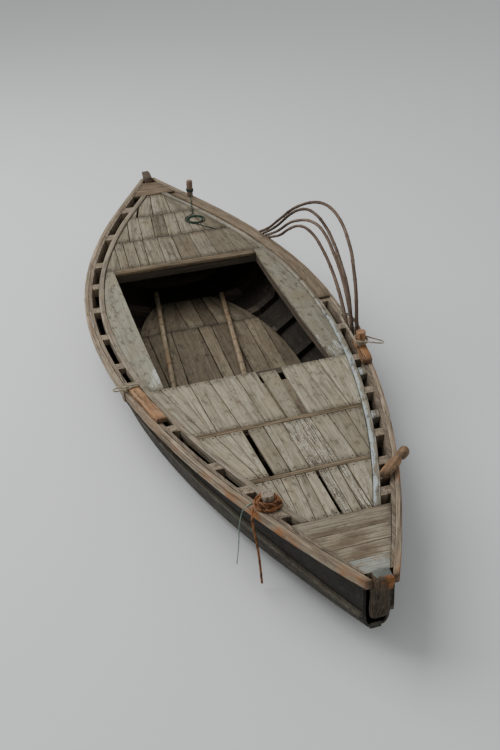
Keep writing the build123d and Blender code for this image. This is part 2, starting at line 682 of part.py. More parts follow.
# The bow and stern decks, of planks across the boat between the topside planks, on ledges
BOW_DECK_LEN = HULL_BOW_X - ROW_ENDS["fore"]
BOW_SEAMS = [HULL_BOW_X - share * BOW_DECK_LEN for share in (0.7, 0.452, 0.232)]
BOW_DECK_X = (ROW_ENDS["fore"] + FIT, *BOW_SEAMS, HULL_BOW_X - FIT)
STERN_DECK_X = (HULL_STERN_X + FIT, HULL_STERN_X + 110.0, ROW_ENDS["aft"] - FIT)
LEDGE_TOP = END_DECK_DROP + END_DECK_T + FIT
for name, xs in (("bow_deck_planks", BOW_DECK_X), ("stern_deck_planks", STERN_DECK_X)):
    planks = []
    for xa, xb in zip(xs, xs[1:]):
        edge = [(x, topside_inner(x, LEDGE_TOP) - 2 * FIT) for x in (xa + 1.0, (xa + xb) / 2, xb - 1.0)]
        region = make_face(Polyline(*edge, *[(x, -y) for x, y in reversed(edge)], close=True))
        planks.append(follow_sheer(region, END_DECK_DROP, END_DECK_DROP + END_DECK_T))
    write(name, *planks)


def ledge_section(x, side):
    """A ledge's section, along the topside plank's inner face and under the deck planks."""
    z = SHEER.value(x) - LEDGE_TOP
    top_y = topside_inner(x, LEDGE_TOP) - 2 * FIT
    low_y = topside_inner(x, LEDGE_TOP + LEDGE_W) - 2 * FIT
    ring = [(top_y, z), (low_y, z - LEDGE_W), (low_y - LEDGE_W, z - LEDGE_W), (top_y - LEDGE_W, z)]
    return [(x, side * y, z) for y, z in ring]


LEDGE_STATIONS = 6
ledges = []
for xa, xb in ((ROW_ENDS["fore"] + 4, HULL_BOW_X - 30), (HULL_STERN_X + 60, ROW_ENDS["aft"] - 4)):
    xs = [xa + (xb - xa) * i / (LEDGE_STATIONS - 1) for i in range(LEDGE_STATIONS)]
    for side in (1, -1):
        ledges.append(through([ledge_section(x, side) for x in xs], ruled=True))
write("end_deck_ledges", *ledges)

# Stem blocks, which close both ends between the rails
bow_top = SHEER.value(BOW_BLOCK_X) + BOW_BLOCK_UP
bow_profile = Plane.XZ * make_face(Polyline(
    (HULL_BOW_X + FIT, bow_top), (BOW_BLOCK_X, bow_top), (BOW_BLOCK_X - BOW_BLOCK_RAKE, BOW_BLOCK_LOW_Z),
    (HULL_BOW_X + FIT, BOW_BLOCK_LOW_Z - 40.0), close=True))
bow_block = extrude(bow_profile, amount=BOW_BLOCK_HALF_W, both=True)
bow_block = bow_block - upright(plan_strip(HULL_BOW_X - 5, RAIL_BOW_X + 20, -60, RAIL_T + FIT, 1))
bow_block = bow_block - upright(plan_strip(HULL_BOW_X - 5, RAIL_BOW_X + 20, -60, RAIL_T + FIT, -1))
write("bow_stem_block", bow_block)

stern_top = SHEER.value(STERN_KNOB_X) + STERN_KNOB_UP
stern_low = stern_top - STERN_BLOCK_DEPTH
stern_profile = Plane.XZ * make_face(Polyline(
    (HULL_STERN_X - FIT, stern_top - 10.0), (STERN_KNOB_X, stern_top), (STERN_KNOB_X + 30.0, stern_low),
    (HULL_STERN_X - FIT, stern_low - 160.0), close=True))
stern_block = extrude(stern_profile, amount=STERN_KNOB_HALF_W, both=True)
stern_block = stern_block - upright(plan_strip(RAIL_STERN_X - FIT, HULL_STERN_X + 5, -60, RAIL_T + FIT, 1))
stern_block = stern_block - upright(plan_strip(RAIL_STERN_X - FIT, HULL_STERN_X + 5, -60, RAIL_T + FIT, -1))
write("stern_stem_block", stern_block)

# A cap over the gap along the port quarter
cap = plan_strip(AFTER_POST_X - 83.0, -360.0, RAIL_T - 3.0, INWALE_OUT + 12.0, 1)
write("port_quarter_cap", follow_sheer(cap, -CAP_T, -FIT))


# Short blocks that fill the port gap: x of the middle, length
def gap_block(x0, x1, side, top_drop, depth):
    """A block in the gap between the topside plank and the inwale."""
    rings = []
    for x in (x0, x1):
        foot_y, foot_z = topside_foot(x)
        slope = (PLAN.value(x, RAIL_T) - foot_y) / (SHEER.value(x) - foot_z)
        out = PLAN.value(x, RAIL_T) - plank_t(x) - 2 * SKIN_FIT
        near = PLAN.value(x, INWALE_OUT) + SKIN_FIT
        top = SHEER.value(x) - top_drop
        low = top - depth
        low_out = out - slope * (top_drop + depth)
        ring = [(out - slope * top_drop, top), (low_out, low), (near, low), (near, top)]
        rings.append([(x, side * y, z) for y, z in ring])
    return through(rings, ruled=True)


GAP_BLOCKS = (
    ("fore filler", 752.0, 100.0),
    ("mid filler", 1296.0, 90.0),
)
CLEAT_X = MOORING_POST_X - 45.0
fillers = []
for label, x, length in GAP_BLOCKS:
    fillers.append(gap_block(x - length / 2, x + length / 2, 1, 2.0, 54.0))
write("port_gap_fillers", *fillers)
write("port_cleat_block", gap_block(CLEAT_X - 38, CLEAT_X + 38, 1, 3.0, 54.0))

# Wooden pads on the rails, where the oars bear
STARBOARD_PAD_INSET = (25.0, 95.0)
PORT_PAD_AFT = 135.0
PORT_PAD_FORE = 220.0
PORT_PAD_X = (THOLE_X - PORT_PAD_AFT, THOLE_X + PORT_PAD_FORE)
PORT_PAD_INSET = (2.0, 76.0)
write("starboard_oar_pad", follow_sheer(plan_strip(*STARBOARD_PAD_X, *STARBOARD_PAD_INSET, -1), -PAD_T, -FIT))
write("port_oar_pad", follow_sheer(plan_strip(*PORT_PAD_X, *PORT_PAD_INSET, 1), -PAD_T, -FIT))


def turned_radii(points, share=0.45):
    """The radius that each corner of a route can take."""
    radii = []
    for a, b, c in zip(points, points[1:], points[2:]):
        u, v = Vector(*b) - Vector(*a), Vector(*c) - Vector(*b)
        turn = math.radians(u.get_angle(v))
        radii.append(share * min(u.length, v.length) / math.tan(turn / 2))
    return radii


def tube(points, radius):
    """A round bar along straight runs joined by tangent arcs."""
    radii = turned_radii(points)
    path = FilletPolyline(*points, radius=radii)
    bar = sweep(path.wire().location_at(0) * Circle(radius), path=path.wire())
    print("  tube", round(path.length), "least radius", round(min(radii)))
    return bar


def ring_around(points, radius, corner):
    """A rope ring through rounded corners, whose ends meet in the middle of the first side."""
    a, b = Vector(*points[0]), Vector(*points[1])
    middle = (a + b) * 0.5
    nudge = (b - a).normalized() * 0.4
    path = FilletPolyline(middle + nudge, *[Vector(*p) for p in points[1:]], a, middle - nudge, radius=corner)
    return sweep(path.wire().location_at(0) * Circle(radius), path=path.wire())


def beside(x, side, out, up):
    """A point beside the rail: how far out from it, and how far up from the sheer."""
    return (x, side * (PLAN.value(x) + out), SHEER.value(x) + up)


# Bent canes on the port side, each from the rail beside the thole post over to the quarter, as
# columns: x from the thole post, out from the rail, up from the sheer
CANE_R = 10.0
CANE_FOOT_UP = 9.0
CANE_END_INSET = 14.0
CANES = (
    ((-158, -30.2, CANE_FOOT_UP), (-180, -31.3, 223.7), (-296, -16.1, 439.5), (-513, 9.6, 575.6),
     (-744, 32.1, 641.8), (-948, 28.0, 680.1), (-1180, 17.5, 649.4), (-1422, 7.2, 540.4),
     (-1658, 3.2, 382.5), (-1852, 4.3, 199.3), (-2020, 11.3, 46.9),
     (-2074, -CANE_END_INSET, CANE_FOOT_UP)),
    ((-198, -55.7, CANE_FOOT_UP), (-258, -53.5, 198.0), (-450, -47.1, 382.2), (-758, -32.4, 492.7),
     (-1057, -9.5, 542.4), (-1293, -5.8, 535.8), (-1468, -3.8, 475.8), (-1649, -1.8, 353.1),
     (-1816, -5.8, 185.3), (-1978, 7.1, 50.9), (-2034, -CANE_END_INSET, CANE_FOOT_UP)),
    ((-240, -39.3, CANE_FOOT_UP), (-320, -42.9, 165.8), (-519, -48.9, 347.6), (-805, -39.9, 457.3),
     (-1069, -20.1, 486.1), (-1254, -23.6, 466.5), (-1410, -25.5, 408.0), (-1619, -20.2, 297.2),
     (-1788, -16.4, 147.6), (-1934, 2.9, 48.0), (-1994, -CANE_END_INSET, CANE_FOOT_UP)),
    ((-280, -66.2, CANE_FOOT_UP), (-380, -69.4, 126.5), (-590, -73.0, 275.9), (-845, -63.9, 352.8),
     (-1064, -47.3, 386.2), (-1289, -41.2, 390.0), (-1455, -36.9, 343.5), (-1620, -37.0, 235.2),
     (-1754, -28.1, 119.3), (-1888, -2.2, 42.2), (-1954, -CANE_END_INSET, CANE_FOOT_UP)),
)
canes = []
for route in CANES:
    canes.append(tube([beside(THOLE_X + dx, 1, out, up) for dx, out, up in route], CANE_R))
write("cane_hoops", *canes)


def post_y(x, inset, side):
    """Where a post stands on the gunwale."""
    return side * (PLAN.value(x) - inset)


def round_post(x, y, z, radius, height, waist_height, rounding):
    """A round post: a waist, worn by the turns round it, under a head with a rounded top."""
    head_h = height - waist_height
    head = Pos(x, y, z + waist_height + head_h / 2) * Cylinder(radius, head_h)
    head = fillet(head.edges().group_by(Axis.Z)[-1], rounding)
    return head + Pos(x, y, z + waist_height / 2) * Cylinder(radius - WAIST_DEPTH, waist_height)


# The round thole post on the port pad
thole_z = SHEER.value(THOLE_X + THOLE_R) + PAD_T + FIT
thole_y = post_y(THOLE_X, THOLE_INSET, 1)
write("port_thole_post", round_post(THOLE_X, thole_y, thole_z, THOLE_R, THOLE_H, THOLE_WAIST_H, 8.0))

# Rope turns around the thole post and the canes' feet, and the loop that holds the oar
turn_r = THOLE_R - WAIST_DEPTH + ROPE_R + FIT
LASHING_AFT = ((-378.0, -21.2), (-386.0, -102.0))
LASHING_LOOP = ((105.0, 102.6), (75.0, 114.0))
loops = []
for dz in (22.0, 36.0):
    z = thole_z + dz
    pts = [
        (THOLE_X + turn_r, thole_y - turn_r - 8.0, z), (THOLE_X + turn_r, thole_y + turn_r + 4.0, z),
        *[(*beside(THOLE_X + dx, 1, out, 0)[:2], z) for dx, out in LASHING_AFT],
    ]
    loops.append(ring_around(pts, ROPE_R, 22.0))
z = thole_z + 52.0
far_end = [(*beside(THOLE_X + dx, 1, out, 0)[:2], z - 14.0) for dx, out in LASHING_LOOP]
bight = [
    (THOLE_X - turn_r, thole_y - turn_r, z), (THOLE_X + turn_r, thole_y - turn_r, z), *far_end,
    (THOLE_X - turn_r, thole_y + turn_r, z),
]
loops.append(ring_around(bight, ROPE_R, 14.0))
write("port_lashing", *loops)

# Mooring post: a round head on the gunwale, with its shank in the gap
shank_inset = INWALE_OUT - FIT - MOORING_SHANK_R
moor_y = post_y(MOORING_POST_X, shank_inset, -1)
moor_z = SHEER.value(MOORING_POST_X + MOORING_HEAD_R) + FIT
head = round_post(MOORING_POST_X, moor_y, moor_z, MOORING_HEAD_R, MOORING_HEAD_H, MOORING_WAIST_H, 6.0)
shank = Cylinder(MOORING_SHANK_R, MOORING_SHANK_LEN)
write("mooring_post", head + Pos(MOORING_POST_X, moor_y, moor_z - MOORING_SHANK_LEN / 2) * shank)

# Rope turns on it, in three layers: the layer in rope radii out from the waist, height of the turn
MOOR_ROPE_R = 8.0
MOOR_TURNS = (
    (1, 9.0), (1, 25.7), (1, 42.4), (3, 9.0), (3, 25.7), (5, 10.5),
)
turns = []
for layer, height in MOOR_TURNS:
    major = MOORING_HEAD_R - WAIST_DEPTH + layer * (MOOR_ROPE_R + FIT)
    turns.append(Pos(MOORING_POST_X, moor_y, moor_z + height) * Torus(major, MOOR_ROPE_R))
write("mooring_post_turns", *turns)

# After post on the port quarter's cap, with its cord turns
after_y = post_y(AFTER_POST_X, AFTER_POST_INSET, 1)
after_z = SHEER.value(AFTER_POST_X - AFTER_POST_R) + CAP_T + FIT
after_post = round_post(AFTER_POST_X, after_y, after_z, AFTER_POST_R, AFTER_POST_H, AFTER_WAIST_H, 5.0)
write("after_post", after_post)
CORD_R = 4.0
cord_ring = Torus(AFTER_POST_R - WAIST_DEPTH + CORD_R + FIT, CORD_R)
turns = []
for height in (38.0, 46.6, 55.2):
    turns.append(Pos(AFTER_POST_X, after_y, after_z + height) * cord_ring)
write("after_post_turns", *turns)

# Log cleat across the port rail, over its block
CLEAT_R = 34.0
CLEAT_INNER = (MOORING_POST_X + 15.0, -107.0)
CLEAT_OUTER = (MOORING_POST_X - 185.0, 49.7)
inner_end, outer_end = [Vector(*beside(x, 1, out, CLEAT_R + FIT)) for x, out in (CLEAT_INNER, CLEAT_OUTER)]
run = outer_end - inner_end
write("port_log_cleat", extrude(Plane(origin=inner_end, z_dir=run) * Circle(CLEAT_R), amount=run.length))

# Starboard lashing: turns through the gap and under the rail, and the oar's loop
edge_y = PLAN.value(STARBOARD_PAD_X[0] + 40)
top_z = SHEER.value(STARBOARD_PAD_X[0] + 40) + PAD_T + ROPE_R + 2.0
loops = []
for x in LASHING_X:
    out_y = PLAN.value(x) + ROPE_R + 1.0
    in_y = PLAN.value(x) - STARBOARD_PAD_INSET[1] - ROPE_R - 1.5
    low_z = SHEER.value(x) - LASHING_DROP
    pts = [(x, -out_y, low_z), (x, -out_y, top_z), (x, -in_y, top_z), (x, -in_y, low_z)]
    loops.append(ring_around(pts, ROPE_R, 9.0))
pad_x = STARBOARD_PAD_X[0]
far_end = [(*beside(pad_x + dx, -1, out, 0)[:2], top_z - 10.0) for dx, out in ((80.0, 78.3), (40.0, 73.6))]
bight = [(pad_x + 86.0, -edge_y + 60.0, top_z + 3.0), (pad_x + 116.0, -edge_y + 60.0, top_z + 3.0), *far_end]
loops.append(ring_around(bight, ROPE_R, 11.0))
write("starboard_lashing", *loops)

# Oars on the bottom boards, with their blades under the foredeck: tip, direction and length
OAR_R = 24.0
OAR_BLADE = (480.0, 116.0, 18.0)
OARS = (
    ("starboard", (-1700.0, -213.0), (-166.0, -420.0), 2250.0),
    ("port", (-1490.0, 334.0), (-205.0, 145.0), 2548.0),
)
for name, tip, on, length in OARS:
    z = FLOOR_TOP_Z + OAR_R + FIT
    run = Vector(on[0] - tip[0], on[1] - tip[1], 0).normalized()
    plane = Plane(origin=(tip[0], tip[1], z), z_dir=run, x_dir=(0, 0, 1))
    loom = extrude(plane * Circle(OAR_R), amount=length - OAR_BLADE[0] + 60.0)
    blade_plane = plane.offset(length - OAR_BLADE[0])
    blade = extrude(blade_plane * Rectangle(OAR_BLADE[2], OAR_BLADE[1]), amount=OAR_BLADE[0])
    write(name + "_oar", loom + blade)

# Loose cords: the mooring rope's end over the starboard rail, as columns: x from its post, out from the
# rail, up from the sheer
ROPE_START = (14.0, -91.0, 10.5)
ROPE_ROUTE = (
    (48.0, 28.2, 10.4), (76.0, 50.6, -2.4), (94.0, 61.9, -33.3), (104.0, 60.0, -83.8), (109.0, 51.1, -179.0),
    (113.0, 43.7, -279.2), (116.0, 40.0, -379.4), (121.0, 39.1, -459.6),
)
rope_route = [(MOORING_POST_X + ROPE_START[0], moor_y + ROPE_START[1], moor_z + ROPE_START[2])]
for dx, out, up in ROPE_ROUTE:
    rope_route.append(beside(MOORING_POST_X + dx, -1, out, up))
write("mooring_rope_end", tube(rope_route, MOOR_ROPE_R))
THIN_R = 3.5
THIN_UP = 1.3
THIN_ROUTE = (
    (-38.0, -32.8, THIN_R + THIN_UP), (-29.0, -4.3, THIN_R + THIN_UP), (-21.0, 23.8, 0.3),
    (-16.0, 44.8, -24.9), (-14.0, 58.5, -73.0), (-25.0, 62.2, -157.5), (-40.0, 54.4, -246.8),
    (-49.0, 56.9, -336.3), (-45.0, 70.4, -421.5),
)
thin_route = [beside(MOORING_POST_X + dx, -1, out, up) for dx, out, up in THIN_ROUTE]
write("thin_line_end", tube(thin_route, THIN_R))

# The small line on the after deck, from its post down to a coil, and its tail
COIL_AT = (367.0, -323.1)
COIL_R = 88.0
COIL_H = 20.0
coil_drop = DECK_DROP - 2.0 - FIT
coil = Pos(*beside(AFTER_POST_X + COIL_AT[0], 1, COIL_AT[1], 0)[:2], 0) * Circle(COIL_R)
write("quarter_line_coil", follow_sheer(coil, coil_drop - COIL_H, coil_drop))

# Where the line lies on the deck, and where it comes down to it: x from its post, out from the rail, and
# up from the sheer
CORD_UP = CORD_R - DECK_DROP + 1.4
QUARTER_START = (37.3, -6.0, 38.0)
QUARTER_ROUTE = (
    (72.0, -116.9, 40.6), (107.0, -144.8, 27.8), (139.0, -172.2, 16.3), (177.0, -201.7, -1.4),
    (227.0, -237.6, CORD_UP), (278.1, -275.0, CORD_UP),
)
TAIL_ROUTE = (
    (455.0, -346.3, CORD_UP), (495.0, -342.3, CORD_UP), (523.0, -321.2, CORD_UP), (549.0, -301.9, CORD_UP),
    (581.0, -299.0, CORD_UP),
)
quarter_route = [(AFTER_POST_X + QUARTER_START[0], after_y + QUARTER_START[1], after_z + QUARTER_START[2])]
for dx, out, up in QUARTER_ROUTE:
    quarter_route.append(beside(AFTER_POST_X + dx, 1, out, up))
write("quarter_line", tube(quarter_route, CORD_R))
tail_route = [beside(AFTER_POST_X + dx, 1, out, up) for dx, out, up in TAIL_ROUTE]
write("quarter_line_tail", tube(tail_route, CORD_R))
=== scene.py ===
import math
import random

import bmesh
import bpy
import numpy
from mathutils import Matrix, Vector, noise


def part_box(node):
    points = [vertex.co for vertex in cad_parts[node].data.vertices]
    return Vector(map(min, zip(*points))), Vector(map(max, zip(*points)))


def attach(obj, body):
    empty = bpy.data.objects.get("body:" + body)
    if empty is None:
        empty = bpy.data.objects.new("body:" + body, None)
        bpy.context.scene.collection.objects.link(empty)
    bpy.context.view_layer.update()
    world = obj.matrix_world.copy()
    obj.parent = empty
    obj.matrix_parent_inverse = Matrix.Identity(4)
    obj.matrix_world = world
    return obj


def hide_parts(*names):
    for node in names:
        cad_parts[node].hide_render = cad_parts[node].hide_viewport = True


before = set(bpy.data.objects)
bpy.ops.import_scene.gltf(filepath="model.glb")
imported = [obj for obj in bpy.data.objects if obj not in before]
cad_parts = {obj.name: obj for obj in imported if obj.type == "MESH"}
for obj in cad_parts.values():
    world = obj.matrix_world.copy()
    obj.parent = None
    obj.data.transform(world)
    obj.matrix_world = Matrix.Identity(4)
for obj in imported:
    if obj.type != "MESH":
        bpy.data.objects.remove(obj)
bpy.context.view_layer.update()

# The view: a camera above and ahead of the bow, a little to starboard, looking back and down over the boat.
# Its place and turn were solved from the photograph's own lines.
EYE = Vector((6.04, -1.599, 4.002))
EYE_YAW = math.radians(163.941)
EYE_PITCH = math.radians(-31.876)
EYE_ROLL = math.radians(2.148)
FOCAL_PIXELS = 983.16
PICTURE_HEIGHT = 750.0

ahead = Vector((
    math.cos(EYE_PITCH) * math.cos(EYE_YAW),
    math.cos(EYE_PITCH) * math.sin(EYE_YAW),
    math.sin(EYE_PITCH),
))
level_right = ahead.cross(Vector((0, 0, 1))).normalized()
level_down = ahead.cross(level_right)
right = math.cos(EYE_ROLL) * level_right + math.sin(EYE_ROLL) * level_down
down = math.cos(EYE_ROLL) * level_down - math.sin(EYE_ROLL) * level_right
lens = bpy.data.cameras.new("eye")
lens.sensor_width = 36.0
lens.lens = FOCAL_PIXELS / PICTURE_HEIGHT * lens.sensor_width
lens.clip_end = 400.0


def in_scene(name, data):
    """A new object in the scene, at the origin."""
    thing = bpy.data.objects.new(name, data)
    bpy.context.scene.collection.objects.link(thing)
    return thing


camera = in_scene("eye", lens)
turn = Matrix((right, -down, -ahead)).transposed().to_4x4()
camera.matrix_world = Matrix.Translation(EYE) @ turn
bpy.context.scene.camera = camera


# The mooring rope's end: a laid rope of three strands, thick, old and stained with rust. It leaves the
# turns on its post, passes over the starboard rail and hangs down beside the hull.
ROPE_ROUTE = (
    (1.984, -0.4433, 0.5163), (2.018, -0.457, 0.5165), (2.046, -0.468, 0.505), (2.064, -0.472, 0.475),
    (2.074, -0.466, 0.425), (2.079, -0.455, 0.33), (2.083, -0.446, 0.23), (2.086, -0.441, 0.13),
    (2.091, -0.438, 0.05),
)
ROPE_RADIUS = 0.008
ROPE_STRANDS = 3
TWIST_DIAMETERS = 3.4
RINGS_A_TWIST = 11
ROPE_RUST = ((0.27, 0.105, 0.042, 1), (0.075, 0.028, 0.014, 1), (0.42, 0.25, 0.14, 1))


def line_through(name, route):
    """The smooth line that a rope or a bent stick follows, with the route as its control points."""
    line = bpy.data.curves.new(name + "_line", "CURVE")
    line.dimensions = "3D"
    spline = line.splines.new("NURBS")
    spline.points.add(len(route) - 1)
    for point, place in zip(spline.points, route):
        point.co = (*place, 1.0)
    spline.order_u = 3
    spline.use_endpoint_u = True
    spline.resolution_u = 16
    holder = in_scene(name + "_line", line)
    bpy.context.view_layer.update()
    drawn = bpy.data.meshes.new_from_object(holder)
    points = [v.co.copy() for v in drawn.vertices]
    bpy.data.objects.remove(holder)
    bpy.data.meshes.remove(drawn)
    bpy.data.curves.remove(line)
    return points


def even_steps(points, step):
    """The same line in steps of equal length."""
    total = sum((b - a).length for a, b in zip(points, points[1:]))
    count = max(2, round(total / step))
    out, walked, k = [points[0].copy()], 0.0, 0
    for i in range(1, count):
        goal = total * i / count
        while k < len(points) - 2 and walked + (points[k + 1] - points[k]).length < goal:
            walked += (points[k + 1] - points[k]).length
            k += 1
        span = (points[k + 1] - points[k]).length
        out.append(points[k].lerp(points[k + 1], (goal - walked) / span))
    out.append(points[-1].copy())
    return out


def across_and_up(points, start=Vector((0, 0, 1))):
    """Two directions square to the line at each of its points, turned as little as can be."""
    pairs, up = [], start
    for i, point in enumerate(points):
        along = (points[min(i + 1, len(points) - 1)] - points[max(i - 1, 0)]).normalized()
        if abs(along.dot(up)) > 0.98:
            up = Vector((1, 0, 0))
        up = (up - along * up.dot(along)).normalized()
        pairs.append((up.cross(along).normalized(), up.copy()))
    return pairs


def new_piece(name, mesh_in_bmesh, finish):
    """A new object at the origin that holds the mesh and wears the finish."""
    mesh = bpy.data.meshes.new(name)
    mesh_in_bmesh.to_mesh(mesh)
    mesh_in_bmesh.free()
    mesh.materials.append(finish)
    return in_scene(name, mesh)


def skin_rings(bm, rings):
    """Faces between rings of corners one after the other, with both ends closed."""
    sides = len(rings[0])
    for a, b in zip(rings, rings[1:]):
        for j in range(sides):
            bm.faces.new((a[j], a[(j + 1) % sides], b[(j + 1) % sides], b[j]))
    bm.faces.new(list(reversed(rings[0])))
    bm.faces.new(rings[-1])


def laid_rope(name, points, radius, finish, slot, *nodes, sides=8):
    """A rope of twisted strands along the points, which stands for these nodes."""
    twist = 2 * radius * TWIST_DIAMETERS
    points = even_steps(points, twist / RINGS_A_TWIST)
    pairs = across_and_up(points)
    strand = radius / 2
    bm = bmesh.new()
    which, groove = bm.verts.layers.float.new("strand"), bm.verts.layers.float.new("groove")
    for k in range(ROPE_STRANDS):
        rings, walked = [], 0.0
        for i, point in enumerate(points):
            walked += (point - points[i - 1]).length if i else 0.0
            swing = 2 * math.pi * (walked / twist + k / ROPE_STRANDS)
            across, up = pairs[i]
            middle = point + (across * math.cos(swing) + up * math.sin(swing)) * (radius - strand)
            ring = []
            for j in range(sides):
                turn_by = 2 * math.pi * j / sides + swing
                place = middle + (across * math.cos(turn_by) + up * math.sin(turn_by)) * strand
                vert = bm.verts.new(place)
                vert[which] = k / (ROPE_STRANDS - 1)
                vert[groove] = 1.0 - (place - point).length / radius
                ring.append(vert)
            rings.append(ring)
        skin_rings(bm, rings)
    bmesh.ops.recalc_face_normals(bm, faces=bm.faces)
    for face in bm.faces:
        face.smooth = True
    piece = new_piece(name, bm, finish)
    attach(piece, "root")
    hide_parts(*nodes)
    return piece


class Nodes:
    """The nodes of one material or group. Each input is a value or the output that feeds it."""

    def __init__(self, tree):
        self.tree = tree

    def add(self, kind, *inputs, **settings):
        """One node, with its inputs in order or by name, where spaces are underscores."""
        made = self.tree.nodes.new("ShaderNode" + kind)
        for key, value in [*settings.items(), *enumerate(inputs)]:
            if isinstance(key, str) and hasattr(made, key):
                setattr(made, key, value)
                continue
            socket = made.inputs[key.replace("_", " ") if isinstance(key, str) else key]
            if isinstance(value, bpy.types.NodeSocket):
                self.tree.links.new(value, socket)
            elif value is not None:
                socket.default_value = value
        return made

    def feed(self, node, **outputs):
        """Joins outputs to the inputs that have these names."""
        for key, value in outputs.items():
            self.tree.links.new(value, node.inputs[key.replace("_", " ")])

    def place(self):
        return self.add("TexCoord").outputs["Object"]

    def mark(self, name, output="Fac"):
        return self.add("Attribute", attribute_name=name).outputs[output]

    def maths(self, kind, a, b=None, clamp=False):
        return self.add("Math", a, b, operation=kind, use_clamp=clamp).outputs["Value"]

    def ramp(self, value, low, high, to_low=0.0, to_high=1.0, kind="LINEAR"):
        made = self.add("MapRange", value, low, high, to_low, to_high, interpolation_type=kind)
        return made.outputs["Result"]

    def between(self, *values):
        return self.ramp(*values, kind="SMOOTHSTEP")

    def blend(self, share, a, b):
        return self.add("Mix", data_type="RGBA", Factor=share, A=a, B=b).outputs["Result"]

    def stretched(self, vector, by):
        return self.add("VectorMath", vector, by, operation="MULTIPLY").outputs["Vector"]

    def mottle(self, place, scale, detail, rough=0.5, bent=0.0):
        made = self.add(
            "TexNoise", Vector=place, Scale=scale, Detail=detail, Roughness=rough, Distortion=bent)
        return made.outputs["Fac"]

    def finish(self, shader, colour, rough, height, strength, distance):
        """Feeds the shader, with the height as bump."""
        bump = self.add("Bump", Strength=strength, Distance=distance, Height=height)
        self.feed(shader, Base_Color=colour, Roughness=rough, Normal=bump.outputs["Normal"])


def new_group(name, inputs):
    """A node group with these inputs, which puts out a colour, a roughness and a height."""
    tree = bpy.data.node_groups.new(name, "ShaderNodeTree")
    for socket, kind, value in inputs:
        made = tree.interface.new_socket(socket, in_out="INPUT", socket_type="NodeSocket" + kind)
        if value is not None:
            made.default_value = value
    for socket, kind in (("Color", "Color"), ("Roughness", "Float"), ("Height", "Float")):
        tree.interface.new_socket(socket, in_out="OUTPUT", socket_type="NodeSocket" + kind)
    return tree, Nodes(tree), tree.nodes.new("NodeGroupInput").outputs, tree.nodes.new("NodeGroupOutput")


def new_finish(name, sheen):
    """A new material, its nodes and its shader."""
    finish = bpy.data.materials.new(name)
    finish.use_nodes = True
    shader = finish.node_tree.nodes["Principled BSDF"]
    shader.inputs["Specular IOR Level"].default_value = sheen
    return finish, Nodes(finish.node_tree), shader


def fibre_group():
    """Old rope fibre: three colours in patches, one strand paler, dark grooves, fine hairs as bump."""
    inputs = [(name, "Color", None) for name in ("Main", "Deep", "Bleached")]
    tree, nodes, given, out = new_group("old_rope_fibre", [*inputs, ("Patches", "Float", None)])
    place = nodes.place()
    hairs = nodes.mottle(place, 900.0, 2.0)
    colour = nodes.blend(nodes.ramp(nodes.mottle(place, 26.0, 3.0), 0.4, 0.62), given["Main"], given["Deep"])
    pale = nodes.maths("MULTIPLY", nodes.ramp(nodes.mottle(place, 60.0, 4.0), 0.5, 0.72), given["Patches"])
    colour = nodes.blend(pale, colour, given["Bleached"])
    shade = nodes.ramp(nodes.mark("strand"), 0.4, 0.0, 0.0, 0.45)
    colour = nodes.blend(shade, colour, given["Bleached"])
    shade = nodes.ramp(nodes.mark("groove"), 0.22, 0.62, 0.0, 0.9)
    colour = nodes.blend(shade, colour, given["Deep"])
    nodes.feed(out, Color=colour, Roughness=nodes.ramp(hairs, 0.0, 1.0, 0.75, 0.98), Height=hairs)
    return tree


FIBRE = fibre_group()


def rope_finish(name, colours, patches=0.6):
    """A rope's material from its main, deep and bleached colours."""
    finish, nodes, shader = new_finish(name, 0.15)
    main, deep, bleached = colours
    fibre = nodes.add(
        "Group", node_tree=FIBRE, Main=main, Deep=deep, Bleached=bleached, Patches=patches).outputs
    nodes.finish(shader, fibre["Color"], fibre["Roughness"], fibre["Height"], 0.5, 0.001)
    return finish


rusty_rope = rope_finish("rusty_rope", ROPE_RUST)
rope_line = line_through("mooring_rope", ROPE_ROUTE)
mooring_rope = laid_rope(
    "mooring_rope_hanging", rope_line, ROPE_RADIUS, rusty_rope, "rope_rusty", "mooring_rope_end")


# The thin line beside the mooring rope: pale grey-green cord, laid in three strands. It lies over the
# starboard rail and hangs free.
THIN_ROUTE = (
    (1.932, -0.43, 0.506), (1.941, -0.455, 0.5068), (1.949, -0.48, 0.503), (1.954, -0.499, 0.478),
    (1.956, -0.512, 0.43), (1.945, -0.52, 0.345), (1.93, -0.518, 0.255), (1.921, -0.524, 0.165),
    (1.925, -0.536, 0.08),
)
THIN_RADIUS = 0.0035
grey_green_cord = rope_finish(
    "grey_green_cord", ((0.23, 0.32, 0.27, 1), (0.1, 0.16, 0.13, 1), (0.42, 0.48, 0.42, 1)))
thin_points = line_through("thin_line", THIN_ROUTE)
thin_line = laid_rope(
    "thin_line_hanging", thin_points, THIN_RADIUS, grey_green_cord, "cord_green", "thin_line_end", sides=5)


# The quarter line: a dark green cord from its post down over the cap, laid on the after deck in a few
# loose turns, with its tail lying free.
QUARTER_RADIUS = 0.004
COIL_MIDDLE = (-1.996, 0.258)
COIL_LONG, COIL_WIDE = 0.92, 1.14
COIL_TURNS = ((0.083, 0.005), (0.074, -0.006), (0.057, 0.007), (0.0585, 0.0))
COIL_STEPS = 12
COIL_START = 200
COIL_CROSSING = (
    (200, 0.056, 0.007), (232, 0.057, 0.008), (262, 0.058, 0.009), (290, 0.0605, 0.0155),
    (312, 0.068, 0.0175), (332, 0.08, 0.017), (350, 0.085, 0.0075),
)
TAIL_PLACES = ((-1.889, 0.28), (-1.862, 0.306), (-1.834, 0.34), (-1.808, 0.371), (-1.776, 0.388))
COIL_RISE, TAIL_RISE = 0.0066, 0.0056


